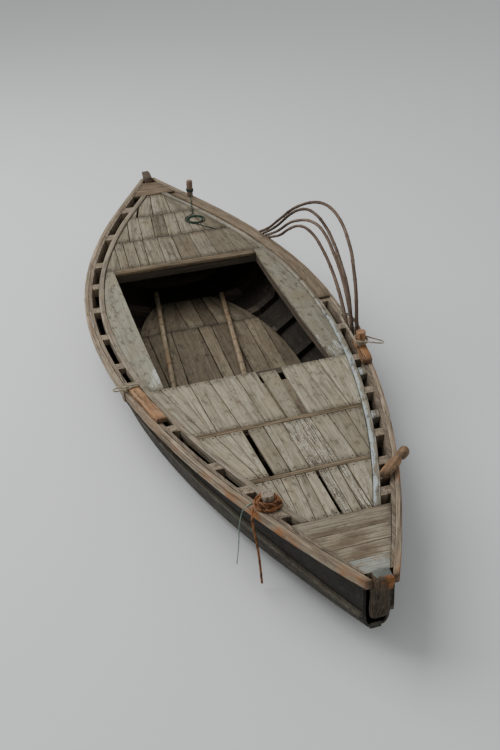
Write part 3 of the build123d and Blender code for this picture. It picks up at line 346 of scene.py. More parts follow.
def deck_height(x):
    """The after deck's height near the coil, between three known heights."""
    known = ((-2.13, 0.5612), (-1.99, 0.5398), (-1.902, 0.5274), (-1.776, 0.5111))
    for (xa, za), (xb, zb) in zip(known, known[1:]):
        if x <= xb or (xb, zb) == known[-1]:
            return za + (zb - za) * (x - xa) / (xb - xa)


def coil_place(angle, reach, rise):
    """A point of the coil, so far from its middle and so high over the deck."""
    x = COIL_MIDDLE[0] + COIL_LONG * reach * math.cos(angle)
    y = COIL_MIDDLE[1] + COIL_WIDE * reach * math.sin(angle)
    return x, y, deck_height(x) + rise


quarter_route = [
    (-2.3197, 0.3016, 0.6739), (-2.285, 0.294, 0.64), (-2.25, 0.289, 0.621), (-2.218, 0.282, 0.604),
    (-2.18, 0.276, 0.58), (-2.136, 0.27, 0.5673), (-2.099, 0.262, 0.5621),
]
for (start, wave), (end, _) in zip(COIL_TURNS, COIL_TURNS[1:]):
    for step in range(COIL_STEPS):
        share = step / COIL_STEPS
        angle = math.radians(COIL_START + 360 * share)
        reach = start + ((end - start) * share + wave * math.sin(2 * angle))
        quarter_route.append(coil_place(angle, reach, COIL_RISE))
for degrees, reach, rise in COIL_CROSSING:
    quarter_route.append(coil_place(math.radians(degrees), reach, rise))
for x, y in TAIL_PLACES:
    quarter_route.append((x, y, deck_height(x) + TAIL_RISE))
quarter_points = line_through("quarter_line", quarter_route)
dark_green_cord = rope_finish(
    "dark_green_cord", ((0.026, 0.058, 0.046, 1), (0.01, 0.024, 0.02, 1), (0.08, 0.14, 0.11, 1)), 0.35)
quarter_line = laid_rope(
    "quarter_line_laid", quarter_points, QUARTER_RADIUS, dark_green_cord, "cord_green", "quarter_line",
    "quarter_line_coil", "quarter_line_tail", sides=5)


# The hull planks: thick boards in long strakes, laid edge to edge on a keel plank. Years of weather and
# black coating have left them almost black outside, with the grain showing through.
OLD_WOOD_INPUTS = (
    ("Place", "Vector", None), ("Tone", "Float", 0.0), ("Ends", "Float", 0.0),
    ("Pale", "Color", None), ("Deep", "Color", None), ("Stain", "Color", None), ("Staining", "Float", 0.4),
    ("Paint", "Color", None), ("Painted", "Float", 0.0), ("Cracks", "Float", 0.5), ("Grain", "Float", 1.0),
    ("Torn", "Float", 0.0), ("Dirt", "Float", 0.5),
)


def old_wood_group():
    """Weathered plank: fibres and year rings along X, cracks, stains, scaly paint and grime at the ends."""
    tree, nodes, given, out = new_group("old_wood", OLD_WOOD_INPUTS)
    maths, between, blended = nodes.maths, nodes.between, nodes.blend
    # Each board has grain of its own, because its tone also shifts the pattern
    tone = given["Tone"]
    shift = nodes.add("CombineXYZ", maths("MULTIPLY", tone, 7.3), maths("MULTIPLY", tone, 3.1))
    moved = nodes.add(
        "VectorMath", given["Place"], shift.outputs["Vector"], operation="ADD").outputs["Vector"]

    def texture(stretch, *look):
        return nodes.mottle(nodes.stretched(moved, (stretch, 1.0, 1.0)), *look)

    fibres = texture(0.045, 190.0, 4.0, 0.62)
    rings = texture(0.05, 34.0, 3.0, 0.5, 0.6)
    splits = texture(0.018, 70.0, 3.0, 0.5, 0.25)
    blotches = texture(0.7, 5.5, 5.0, 0.62)
    specks = texture(1.0, 75.0, 3.0, 0.6)
    flakes = texture(0.35, 16.0, 6.0, 0.68)
    dirt = texture(0.55, 24.0, 6.0, 0.72)
    splinters = texture(0.03, 150.0, 2.0, 0.5)
    flecks = texture(0.6, 130.0, 3.0, 0.6)
    figure = maths("ADD", maths("MULTIPLY", fibres, 0.55), maths("MULTIPLY", rings, 0.45))
    grain = maths("MULTIPLY", between(figure, 0.36, 0.66), given["Grain"])
    wood = blended(maths("SUBTRACT", 1.0, grain, True), given["Pale"], given["Deep"])
    stained = maths("MULTIPLY", between(blotches, 0.42, 0.7), given["Staining"])
    stained = maths("ADD", stained, between(given["Tone"], -0.2, -1.0, 0.0, 0.35), True)
    soaked = between(given["Staining"], 2.0, 9.0)
    soaked = maths("MULTIPLY", soaked, between(figure, 0.3, 0.62, 0.95, 0.35))
    stained = maths("ADD", stained, soaked, True)
    wood = blended(stained, wood, given["Stain"])
    cover = maths("ADD", maths("MULTIPLY", flakes, 0.75), maths("MULTIPLY", fibres, 0.25))
    cover = maths("ADD", cover, maths("SUBTRACT", given["Painted"], 0.5))
    painted = maths("MULTIPLY", between(cover, 0.47, 0.55), between(given["Painted"], 0.0, 0.05))
    wood = blended(painted, wood, given["Paint"])
    wood = blended(between(specks, 0.56, 0.72, 0.0, 0.35), wood, given["Deep"])
    soiled = maths("MULTIPLY", between(dirt, 0.5, 0.7), given["Dirt"])
    wood = blended(soiled, wood, (0.055, 0.045, 0.032, 1.0))
    torn = maths("MULTIPLY", between(flecks, 0.52, 0.6), given["Torn"])
    wood = blended(maths("MULTIPLY", torn, 0.6), wood, (0.56, 0.53, 0.46, 1.0))
    torn = maths("MULTIPLY", between(splinters, 0.53, 0.6), given["Torn"])
    wood = blended(maths("MULTIPLY", torn, 0.85), wood, (0.04, 0.033, 0.025, 1.0))
    crack = maths("MULTIPLY", between(splits, 0.6, 0.67), given["Cracks"])
    wood = blended(crack, wood, (0.012, 0.01, 0.008, 1.0))
    grime = maths("MULTIPLY", given["Ends"], between(blotches, 0.25, 0.75, 0.25, 0.75))
    wood = blended(grime, wood, (0.045, 0.037, 0.028, 1.0))
    bright = maths("ADD", 1.0, maths("MULTIPLY", given["Tone"], 0.2))
    bright = maths("MULTIPLY", bright, between(blotches, 0.2, 0.8, 0.8, 1.16))
    tinted = nodes.add("VectorMath", wood, operation="SCALE", Scale=bright).outputs["Vector"]
    height = maths("ADD", maths("MULTIPLY", figure, 0.8), maths("MULTIPLY", specks, 0.12))
    height = maths("ADD", height, maths("MULTIPLY", painted, 0.15))
    height = maths("SUBTRACT", height, maths("MULTIPLY", crack, 0.8))
    nodes.feed(out, Color=tinted, Roughness=between(figure, 0.3, 0.7, 0.92, 0.7), Height=height)
    return tree


OLD_WOOD = old_wood_group()


def reading(nodes, what):
    """A value that changes over a piece: a place along an axis or across a board, or how a face looks."""
    def part(vector, axis):
        return nodes.add("SeparateXYZ", vector).outputs[axis]

    if what in ("x", "y", "z"):
        return part(nodes.place(), what.upper())
    if what == "across":
        return part(nodes.mark("laid", "Vector"), "Y")
    normal = nodes.add("NewGeometry").outputs["Normal"]
    if what == "upward":
        return part(normal, "Z")
    return nodes.maths("MULTIPLY", nodes.maths("SIGN", part(nodes.place(), "Y")), part(normal, "Y"))


GRAIN_TURNS = {"x": (0, 0, 0), "y": (0, 0, math.radians(90)), "z": (0, math.radians(90), 0)}


def wood_finish(name, pale, deep, stain, run="laid", relief=0.0018, sheen=0.22, where=(), **amounts):
    """An old wood material. run is the axis that the grain follows, or laid where the boards tell it. where
    holds rows of socket, reading, its low and high value and the amounts there, and rows multiply."""
    finish, nodes, shader = new_finish(name, sheen)
    if run == "laid":
        place = nodes.mark("laid", "Vector")
    else:
        place = nodes.add("Mapping", Vector=nodes.place(), Rotation=GRAIN_TURNS[run]).outputs["Vector"]
    amounts.update(Pale=pale, Deep=deep, Stain=stain)
    amounts = {key: value if isinstance(value, float) else (*value, 1.0) for key, value in amounts.items()}
    wood = nodes.add("Group", node_tree=OLD_WOOD, Place=place, **amounts)
    changing = {socket: nodes.mark(socket.lower()) for socket in ("Tone", "Ends", "Torn")}
    for socket, what, *ends in where:
        made = nodes.between(reading(nodes, what), *ends)
        changing[socket] = nodes.maths("MULTIPLY", changing[socket], made) if socket in changing else made
    nodes.feed(wood, **changing)
    nodes.finish(
        shader, wood.outputs["Color"], wood.outputs["Roughness"], wood.outputs["Height"], 0.75, relief)
    return finish


def dress(finish, *nodes):
    """These CAD nodes keep their shape and get this finish."""
    for node in nodes:
        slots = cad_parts[node].data.materials
        if not len(slots):
            slots.append(finish)
        for i in range(len(slots)):
            slots[i] = finish


# Near-black painted shade for the inside of the hull where it lies in shadow: the bottom planks' inner
# faces, which face upward, take it, and so do the lower side frames.
PAINTED_BILGE_SHADE = (0.02, 0.016, 0.012)
bottom_planks = wood_finish(
    "bottom_planks", (0.08, 0.068, 0.054), (0.03, 0.026, 0.022), (0.048, 0.052, 0.04), run="x",
    Staining=0.7, Cracks=0.6, Paint=PAINTED_BILGE_SHADE, where=(("Painted", "upward", 0.0, 0.3, 0.0, 0.85),))
for strake in ("garboard", "bottom_plank", "lower_bilge_plank", "upper_bilge_plank"):
    dress(bottom_planks, strake + "_port", strake + "_starboard")
dress(bottom_planks, "keel_plank")

black_plank = wood_finish(
    "black_plank", (0.27, 0.22, 0.16), (0.09, 0.068, 0.048), (0.15, 0.11, 0.075), run="x", sheen=0.3,
    where=(("Painted", "outward", -0.5, -0.2, 0.0, 0.66), ("Painted", "upward", 0.5, 0.8, 1.0, 0.0)),
    Staining=0.6, Cracks=0.6, Paint=(0.022, 0.02, 0.017))
dress(black_plank, "topside_plank_port", "topside_plank_starboard")


# The rubbing strips and rails: long worn strips nailed along the planks' upper edge. Their edges are
# rounded and bruised by ropes and landings, and bare wood shows orange where it is freshly rubbed.
def only(piece):
    """Selects one piece alone."""
    bpy.ops.object.select_all(action="DESELECT")
    piece.select_set(True)
    bpy.context.view_layer.objects.active = piece


def apply_new(piece, kind, **settings):
    """Adds a modifier with its settings and applies it."""
    only(piece)
    made = piece.modifiers.new(kind.lower(), kind)
    for key, value in settings.items():
        setattr(made, key, value)
    bpy.ops.object.modifier_apply(modifier=made.name)


WELD_REACH = 0.00002
FLAT_ANGLE = math.radians(1)
CORNER_ANGLE = math.radians(40)


def smooth_sides(piece, degrees):
    """Smooth faces, with an edge left sharp where they turn by more than these degrees."""
    only(piece)
    bpy.ops.object.shade_smooth_by_angle(angle=math.radians(degrees))


def worn_copy(
        node, finish, edge, warp, steps=(), swirl=0.11, run="x", seed=9, hewn=0.0, torn=(), name=""):
    """The node's boards again, merged, their edges rounded, cut into small faces and made uneven. hewn is
    the grid of a block that is rounded all over instead, and torn holds places of torn boards."""
    name = name or node + "_worn"
    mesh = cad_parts[node].data.copy()
    mesh.name = name
    piece = in_scene(name, mesh)
    mesh.materials.clear()
    only(piece)
    bpy.ops.object.mode_set(mode="EDIT")
    bpy.ops.mesh.select_all(action="SELECT")
    bpy.ops.mesh.remove_doubles(threshold=WELD_REACH)
    bpy.ops.mesh.dissolve_limited(angle_limit=FLAT_ANGLE)
    bpy.ops.object.mode_set(mode="OBJECT")
    if hewn:
        apply_new(piece, "REMESH", mode="VOXEL", voxel_size=hewn)
        apply_new(piece, "SMOOTH", factor=0.5, iterations=round(4 * (edge / hewn) ** 2))
    else:
        apply_new(
            piece, "BEVEL", width=edge, segments=2, limit_method="ANGLE", angle_limit=CORNER_ANGLE,
            use_clamp_overlap=True)
    low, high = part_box(node)
    only(piece)
    bpy.ops.object.mode_set(mode="EDIT")
    for axis, step in enumerate(steps):
        count = max(1, round((high[axis] - low[axis]) / step))
        normal, place = [0.0, 0.0, 0.0], [0.0, 0.0, 0.0]
        normal[axis] = 1.0
        for i in range(1, count):
            place[axis] = low[axis] + (high[axis] - low[axis]) * i / count
            bpy.ops.mesh.select_all(action="SELECT")
            bpy.ops.mesh.bisect(plane_co=place, plane_no=normal)
    bpy.ops.object.mode_set(mode="OBJECT")
    clouds = bpy.data.textures.new(name + "_unevenness", "CLOUDS")
    clouds.noise_scale = swirl
    apply_new(piece, "DISPLACE", texture=clouds, strength=warp, mid_level=0.5, texture_coords="LOCAL")
    give_tones(piece, run, seed, torn)
    smooth_sides(piece, 38)
    piece.data.materials.append(finish)
    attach(piece, "root")
    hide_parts(node)
    return piece


END_REACH = 0.05


def give_tones(piece, run, seed, torn=()):
    """Each separate board gets a tone of its own, a mark that rises towards its two ends, and its grain: how
    far along the board a point lies, and how far from the board's own middle line."""
    axis = "xyz".index(run)
    others = [k for k in range(3) if k != axis]
    dice = random.Random(seed)
    bm = bmesh.new()
    bm.from_mesh(piece.data)
    tone, ends = bm.verts.layers.float.new("tone"), bm.verts.layers.float.new("ends")
    laid, tears = bm.verts.layers.float_vector.new("laid"), bm.verts.layers.float.new("torn")
    left = set(bm.verts)
    islands = []
    while left:
        start = min(left, key=lambda v: v.index)
        island, queue = {start}, [start]
        while queue:
            for linked in queue.pop().link_edges:
                for vert in linked.verts:
                    if vert not in island:
                        island.add(vert)
                        queue.append(vert)
        left -= island
        islands.append(island)
    for island in islands:
        value = dice.uniform(-1.0, 1.0)
        low, high = min(v.co[axis] for v in island), max(v.co[axis] for v in island)
        ordered = sorted(island, key=lambda v: v.index)
        along = numpy.array([v.co[axis] for v in ordered])
        degree = 5 if high - low > 2.0 else 3 if high - low > 0.9 else 1
        middles = [numpy.polyfit(along, [v.co[k] for v in ordered], degree) for k in others]
        for vert in ordered:
            far = vert.co[axis]
            vert[tone] = value
            vert[ends] = max(0.0, 1.0 - min(far - low, high - far) / END_REACH)
            aside = [vert.co[k] - float(numpy.polyval(fit, far)) for k, fit in zip(others, middles)]
            vert[laid] = Vector((far, *aside))
    for place in torn:
        nearest = min(islands, key=lambda island: min((v.co.xy - Vector(place)).length for v in island))
        for vert in nearest:
            vert[tears] = 1.0
    bm.to_mesh(piece.data)
    bm.free()


wale_wood = wood_finish(
    "wale_wood", (0.13, 0.11, 0.085), (0.048, 0.04, 0.03), (0.07, 0.075, 0.055), run="x", Staining=0.7,
    Cracks=0.7)
dress(wale_wood, "rubbing_strips")
rail_wood = wood_finish(
    "rail_wood", (0.4, 0.335, 0.245), (0.15, 0.112, 0.076), (0.3, 0.125, 0.045), Cracks=0.7, relief=0.003,
    where=(("Staining", "x", 1.3, 2.2, 0.4, 1.7), ("Staining", "outward", -0.2, 0.7, 0.25, 1.0)))
for side in ("port", "starboard"):
    worn_copy(
        "outer_rail_" + side, rail_wood, name="rail_" + side, edge=0.006, steps=(0.05, 5.0),
        warp=0.005, swirl=0.09)

white_paint = wood_finish(
    "worn_white_paint", (0.36, 0.33, 0.26), (0.14, 0.12, 0.09), (0.22, 0.18, 0.13), Staining=0.5,
    Cracks=0.6, Paint=(0.4, 0.44, 0.43), relief=0.002, Dirt=0.9,
    where=(("Painted", "across", -0.018, 0.014, 0.57, 0.42), ("Painted", "x", -1.0, 0.3, 0.74, 1.0)))
inwale_wood = wood_finish(
    "inwale_wood", (0.37, 0.325, 0.245), (0.13, 0.105, 0.076), (0.2, 0.15, 0.1), Staining=0.5, Cracks=0.7)
for side, finish in (("port", white_paint), ("starboard", inwale_wood)):
    worn_copy(
        "inwale_" + side, finish, name="inwale_strip_" + side, edge=0.004,
        steps=(0.06, 5.0), warp=0.004)


# The floor timbers, side frames, deck beams, ledges and carlins: sawn timbers and crooks across, up and
# along the hull, rough and grey-brown, nailed to the planks or let in under the decks.
# The frame wood is dark all over as painted shade, for timbers that lie low in the hull and under the decks.
frame_wood = wood_finish(
    "frame_wood", (0.095, 0.076, 0.056), (0.034, 0.027, 0.02), (0.05, 0.039, 0.028), run="y", Staining=0.6,
    Cracks=0.6)
# The side frames stay pale at their heads and are darkened below, between z 0.34 and 0.44, with painted
# shade where the hull's inside lies in shadow.
head_wood = wood_finish(
    "frame_head_wood", (0.36, 0.295, 0.215), (0.12, 0.092, 0.066), (0.2, 0.15, 0.1), run="z", Staining=0.5,
    Cracks=0.8, Paint=PAINTED_BILGE_SHADE, where=(("Painted", "z", 0.34, 0.44, 0.85, 0.0),))
dress(frame_wood, "floor_timbers", "deck_beams", "end_deck_ledges")
dress(head_wood, "side_frames_port", "side_frames_starboard")
carlin_wood = wood_finish(
    "carlin_wood", (0.15, 0.12, 0.09), (0.052, 0.041, 0.031), (0.08, 0.062, 0.044), run="x", Staining=0.6,
    Cracks=0.6)
dress(carlin_wood, "carlins")


# The decks: short sawn boards laid fore and aft in rows, silver-grey with dark open seams, each nailed
# to the beams under its ends.
deck_grey = wood_finish(
    "deck_boards", (0.4, 0.365, 0.275), (0.185, 0.158, 0.11), (0.235, 0.19, 0.128), Staining=0.7,
    Cracks=0.35, Dirt=0.7)
deck_brown = wood_finish(
    "after_deck_boards", (0.3, 0.27, 0.2), (0.13, 0.11, 0.078), (0.175, 0.138, 0.092), Staining=0.65,
    Cracks=0.35, Dirt=0.7)
DECK_ROWS = (
    ("foredeck_boards_aft_row", deck_grey, 11, ()),
    ("foredeck_boards_mid_row", deck_grey, 23, ((1.55, 0.115),)),
    ("foredeck_boards_fore_row", deck_grey, 35, ((1.8, 0.07), (1.86, 0.149))),
    ("after_deck_boards_fore_row", deck_brown, 47, ()),
    ("after_deck_boards_mid_row", deck_brown, 59, ()),
    ("after_deck_boards_aft_row", deck_brown, 61, ()),
)
nail_places = []
NAIL_INSET = 0.024
NARROW_BOARD = 0.055
NAIL_SHARES = (0.22, 0.76)


def note_nails(piece):
    """Two nails at each end of each board on its top face, or one where the board is narrow."""
    bm = bmesh.new()
    bm.from_mesh(piece.data)
    tone = bm.verts.layers.float["tone"]
    boards = {}
    for vert in bm.verts:
        boards.setdefault(round(vert[tone], 6), []).append(vert.co.copy())
    bm.free()
    for value in sorted(boards):
        places = boards[value]
        low, high = min(p.x for p in places), max(p.x for p in places)
        for x, near in ((low + NAIL_INSET, low), (high - NAIL_INSET, high)):
            close = [p for p in places if abs(p.x - near) < 0.07]
            left, right = min(p.y for p in close), max(p.y for p in close)
            width = right - left
            for share in ((0.5,) if width < NARROW_BOARD else NAIL_SHARES):
                y = left + width * share
                top = max(p.z for p in close if abs(p.y - y) < 0.05)
                nail_places.append((x + 0.006 * math.sin(90 * y), y, top))


for node, finish, seed, torn in DECK_ROWS:
    row = worn_copy(
        node, finish, edge=0.0045, steps=(0.06, 0.045), warp=0.0035, seed=seed, torn=torn)
    note_nails(row)

batten_wood = wood_finish(
    "batten_wood", (0.25, 0.195, 0.125), (0.085, 0.062, 0.038), (0.15, 0.105, 0.06), Staining=0.7,
    Cracks=0.7)
worn_copy(
    "foredeck_battens", batten_wood, edge=0.004, steps=(5.0, 0.04), warp=0.007, run="y",
    seed=5)
worn_copy("well_edge_piece", batten_wood, edge=0.004, steps=(5.0, 0.05), warp=0.004, run="y")

side_plank_wood = wood_finish(
    "side_planks", (0.345, 0.335, 0.262), (0.195, 0.18, 0.13), (0.185, 0.16, 0.108), Staining=0.8,
    Cracks=0.25, Grain=0.8, Dirt=0.85, Paint=(0.44, 0.45, 0.41),
    where=(("Painted", "x", -0.2, 0.3, 0.26, 0.46),))
worn_copy(
    "side_deck_planks", side_plank_wood, edge=0.004, steps=(0.06, 0.06), warp=0.004,
    seed=3)


# The bottom boards: loose brown boards laid in two rows on the floor timbers. They are the most trodden
# wood aboard.
floor_wood = wood_finish(
    "bottom_boards", (0.25, 0.212, 0.15), (0.11, 0.088, 0.058), (0.11, 0.085, 0.055), Staining=0.8,
    Cracks=0.25, Grain=0.85, Dirt=0.9)
for node, seed in (("bottom_boards_aft_row", 7), ("bottom_boards_fore_row", 9)):
    worn_copy(node, floor_wood, edge=0.004, steps=(0.06, 0.05), warp=0.006, seed=seed)


# The bow and stern decks: short boards nailed across the boat onto ledges, with strong dark figure at
# the bow.
bow_wood = wood_finish(
    "bow_deck", (0.38, 0.335, 0.25), (0.155, 0.12, 0.08), (0.085, 0.06, 0.04), Staining=0.85, Cracks=0.35,
    relief=0.0025, Paint=(0.265, 0.27, 0.24), where=(("Painted", "x", 2.565, 2.575, 0.0, 0.53),))
worn_copy(
    "bow_deck_planks", bow_wood, edge=0.003, steps=(0.05, 0.05), warp=0.004, run="y", seed=13)
stern_wood = wood_finish(
    "stern_deck", (0.215, 0.163, 0.108), (0.085, 0.06, 0.039), (0.12, 0.078, 0.048), Staining=0.6,
    Cracks=0.4)
worn_copy(
    "stern_deck_planks", stern_wood, edge=0.003, steps=(0.05, 0.05), warp=0.003, run="y",
    seed=17)


# The stem blocks: solid timber between the rails at both ends, painted blue-grey at the bow and worn
# down to orange-brown wood at its corners.
# The Dirt row makes the block darker towards its bottom.
stem_paint = wood_finish(
    "stem_paint", (0.11, 0.08, 0.055), (0.03, 0.022, 0.016), (0.43, 0.17, 0.045), run="z", Cracks=0.9,
    Paint=(0.2, 0.22, 0.205), relief=0.002,
    where=(("Painted", "upward", 0.3, 0.8, 0.0, 0.66), ("Painted", "x", 2.745, 2.785, 1.0, 0.55),
           ("Staining", "z", 0.44, 0.55, 0.0, 1.0),
           ("Staining", "y", -0.035, 0.04, 0.2, 12.0), ("Dirt", "z", 0.38, 0.52, 1.8, 0.2)))
worn_copy(
    "bow_stem_block", stem_paint, edge=0.038, warp=0.01, swirl=0.06, run="z", hewn=0.005)
knob_wood = wood_finish(
    "knob_wood", (0.2, 0.15, 0.105), (0.07, 0.05, 0.035), (0.12, 0.08, 0.05), Staining=0.6, Cracks=0.7)
worn_copy("stern_stem_block", knob_wood, edge=0.01, warp=0.01, swirl=0.05, run="z", hewn=0.005)


# The port cap and the blocks in the gunwale's gap: short scraps of board, nailed in where rope and
# posts bear.
cap_wood = wood_finish(
    "cap_wood", (0.27, 0.215, 0.15), (0.105, 0.078, 0.052), (0.15, 0.105, 0.066), Staining=0.6, Cracks=0.5)
worn_copy("port_quarter_cap", cap_wood, edge=0.004, steps=(0.05, 5.0), warp=0.006)
for node, finish in (("port_gap_fillers", white_paint), ("port_cleat_block", inwale_wood)):
    worn_copy(node, finish, edge=0.005, steps=(0.02, 0.02), warp=0.006, swirl=0.05)


# The oar pads: hewn blocks of hard orange-brown wood, split by the sun, that lie on the rails under the
# oar lashings.
pad_wood = wood_finish(
    "oar_pad_wood", (0.44, 0.275, 0.15), (0.135, 0.07, 0.036), (0.29, 0.14, 0.06), Staining=0.6,
    Cracks=0.95, relief=0.004)
for node, seed in (("starboard_oar_pad", 19), ("port_oar_pad", 21)):
    worn_copy(node, pad_wood, edge=0.008, warp=0.012, swirl=0.06, seed=seed, hewn=0.005)


# The posts: round wooden stakes that stand on the rail, the pad and the cap. Their heads show year rings
# round the middle.
RINGS_A_METRE = 260.0


def post_finish(name, centre, pale, deep):
    """End grain: year rings round the post's middle, broken by streaks along the post."""
    finish, nodes, shader = new_finish(name, 0.2)
    middle = (-centre[0], -centre[1], 0.0)
    centred = nodes.add("Mapping", Vector=nodes.place(), Location=middle).outputs["Vector"]
    flat = nodes.stretched(centred, (1.0, 1.0, 0.0))
    reach = nodes.add("VectorMath", flat, operation="LENGTH").outputs["Value"]
    wander = nodes.mottle(centred, 30.0, 2.0)
    bent = nodes.add("Math", wander, 0.012, reach, operation="MULTIPLY_ADD").outputs["Value"]
    wave = nodes.maths("SINE", nodes.maths("MULTIPLY", bent, 2 * math.pi * RINGS_A_METRE))
    streaks = nodes.mottle(nodes.stretched(centred, (1.0, 1.0, 0.06)), 55.0, 4.0)
    rings = nodes.maths(
        "MULTIPLY", nodes.ramp(wave, -1.0, 1.0, 0.25, 0.6), nodes.ramp(streaks, 0.35, 0.65, 0.2, 1.8))
    colour = nodes.blend(rings, (*pale, 1.0), (*deep, 1.0))
    nodes.finish(shader, colour, nodes.ramp(streaks, 0.0, 1.0, 0.7, 0.95), rings, 0.8, 0.002)
    return finish


POSTS = (
    ("mooring_post", "rail_wood", (1.97, -0.3522), (0.36, 0.305, 0.235), (0.105, 0.075, 0.052)),
    ("port_thole_post", "pad_orange", (0.47, 0.8294), (0.4, 0.23, 0.13), (0.12, 0.058, 0.03)),
    ("after_post", "deck_brown", (-2.357, 0.3076), (0.25, 0.17, 0.128), (0.08, 0.05, 0.037)),
)
for node, slot, centre, pale, deep in POSTS:
    worn_copy(
        node, post_finish(node + "_wood", centre, pale, deep), edge=0.002, steps=(5.0, 5.0, 0.012),
        warp=0.006, swirl=0.035, run="z")


# The log cleat: a short peeled log across the port rail, with a waist cut for the rope and a knob left
# at its outer end.
def round_piece(name, rings, finish, seed, degrees):
    """A piece skinned over rings of places, with its tones, its finish and smooth sides."""
    bm = bmesh.new()
    skin_rings(bm, [[bm.verts.new(place) for place in ring] for ring in rings])
    bmesh.ops.recalc_face_normals(bm, faces=bm.faces)
    piece = new_piece(name, bm, finish)
    give_tones(piece, "x", seed)
    smooth_sides(piece, degrees)
    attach(piece, "root")
    return piece


def turned_stick(name, points, radii, finish, node, sides=14, lumps=0.0, seed=0, marks=()):
    """A round stick along the points, with a radius for each, or one across and one up, and some lumps.
    marks says how dark each ring is."""
    rings = []
    for point, radius, (across, up) in zip(points, radii, across_and_up(points)):
        wide, tall = radius if isinstance(radius, tuple) else (radius, radius)
        ring = []
        for j in range(sides):
            angle = 2 * math.pi * j / sides
            arm = across * math.cos(angle) * wide + up * math.sin(angle) * tall
            swell = 1.0 + lumps * noise.noise((point + arm * 2.0) * 14.0 + Vector((seed, seed, 0.0)))
            ring.append(point + arm * swell)
        rings.append(ring)
    piece = round_piece(name, rings, finish, seed, 50)
    for i, mark in enumerate(marks):
        for value in piece.data.attributes["ends"].data[i * sides:(i + 1) * sides]:
            value.value = max(value.value, mark)
    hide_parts(node)


CLEAT_ENDS = (Vector((1.985, 0.335, 0.5387)), Vector((1.785, 0.568, 0.5291)))
CLEAT_SHAPE = (
    (0.0, 0.012), (0.004, 0.024), (0.012, 0.031), (0.045, 0.0335), (0.056, 0.033), (0.062, 0.0285),
    (0.068, 0.033), (0.108, 0.033), (0.116, 0.028), (0.124, 0.0325), (0.165, 0.0325), (0.182, 0.029),
    (0.198, 0.0215), (0.214, 0.0195), (0.228, 0.0235), (0.238, 0.031), (0.262, 0.0335), (0.288, 0.0325),
    (0.3, 0.027), (0.306, 0.014),
)
CLEAT_STEP = 0.008
cleat_wood = wood_finish(
    "cleat_wood", (0.34, 0.225, 0.13), (0.11, 0.066, 0.038), (0.2, 0.105, 0.05), Staining=0.7, Cracks=0.9,
    Dirt=0.9, relief=0.004)
cleat_run = (CLEAT_ENDS[1] - CLEAT_ENDS[0]).normalized()
cleat_profile = []
for (da, ra), (db, rb) in zip(CLEAT_SHAPE, CLEAT_SHAPE[1:]):
    pieces_between = max(1, round((db - da) / CLEAT_STEP))
    for i in range(pieces_between):
        share = i / pieces_between
        cleat_profile.append((da + (db - da) * share, ra + (rb - ra) * share))
cleat_profile.append(CLEAT_SHAPE[-1])
# The marks darken the log wherever it is thinner than its full width: in its waist, in its grooves and at
# its tips.
turned_stick(
    "port_log_cleat_worn", [CLEAT_ENDS[0] + cleat_run * d for d, r in cleat_profile],
    [r for d, r in cleat_profile], cleat_wood, "port_log_cleat", sides=22, lumps=0.1,
    marks=[min(0.8, (0.033 - r) / 0.01) for d, r in cleat_profile])


# The bent canes: four green sticks with their bark, forced into arches on the port side and left to dry.
# They thin towards the stern and have a knuckle at each old twig.
CANE_ROUTES = (
    ((0.312, 0.866, 0.4457), (0.29, 0.868, 0.66), (0.174, 0.898, 0.874), (-0.043, 0.945, 1.008),
     (-0.274, 0.981, 1.074), (-0.478, 0.981, 1.115), (-0.71, 0.963, 1.091), (-0.952, 0.927, 0.993),
     (-1.188, 0.88, 0.85), (-1.382, 0.832, 0.682), (-1.55, 0.786, 0.545), (-1.604, 0.7415, 0.5126)),
    ((0.272, 0.846, 0.445), (0.212, 0.856, 0.633), (0.02, 0.883, 0.815), (-0.288, 0.917, 0.925),
     (-0.587, 0.942, 0.98), (-0.823, 0.93, 0.982), (-0.998, 0.909, 0.931), (-1.179, 0.877, 0.82),
     (-1.346, 0.832, 0.665), (-1.508, 0.796, 0.545), (-1.564, 0.7558, 0.5085)),
    ((0.23, 0.868, 0.4443), (0.15, 0.874, 0.6), (-0.049, 0.887, 0.78), (-0.335, 0.911, 0.89),
     (-0.599, 0.931, 0.924), (-0.784, 0.916, 0.911), (-0.94, 0.896, 0.86), (-1.149, 0.865, 0.762),
     (-1.318, 0.829, 0.625), (-1.464, 0.806, 0.538), (-1.524, 0.7696, 0.5046)),
    ((0.19, 0.846, 0.4437), (0.09, 0.854, 0.56), (-0.12, 0.868, 0.708), (-0.375, 0.888, 0.786),
     (-0.594, 0.904, 0.824), (-0.819, 0.895, 0.836), (-0.985, 0.878, 0.798), (-1.15, 0.848, 0.7),
     (-1.284, 0.826, 0.594), (-1.418, 0.815, 0.528), (-1.484, 0.7827, 0.5008)),
)
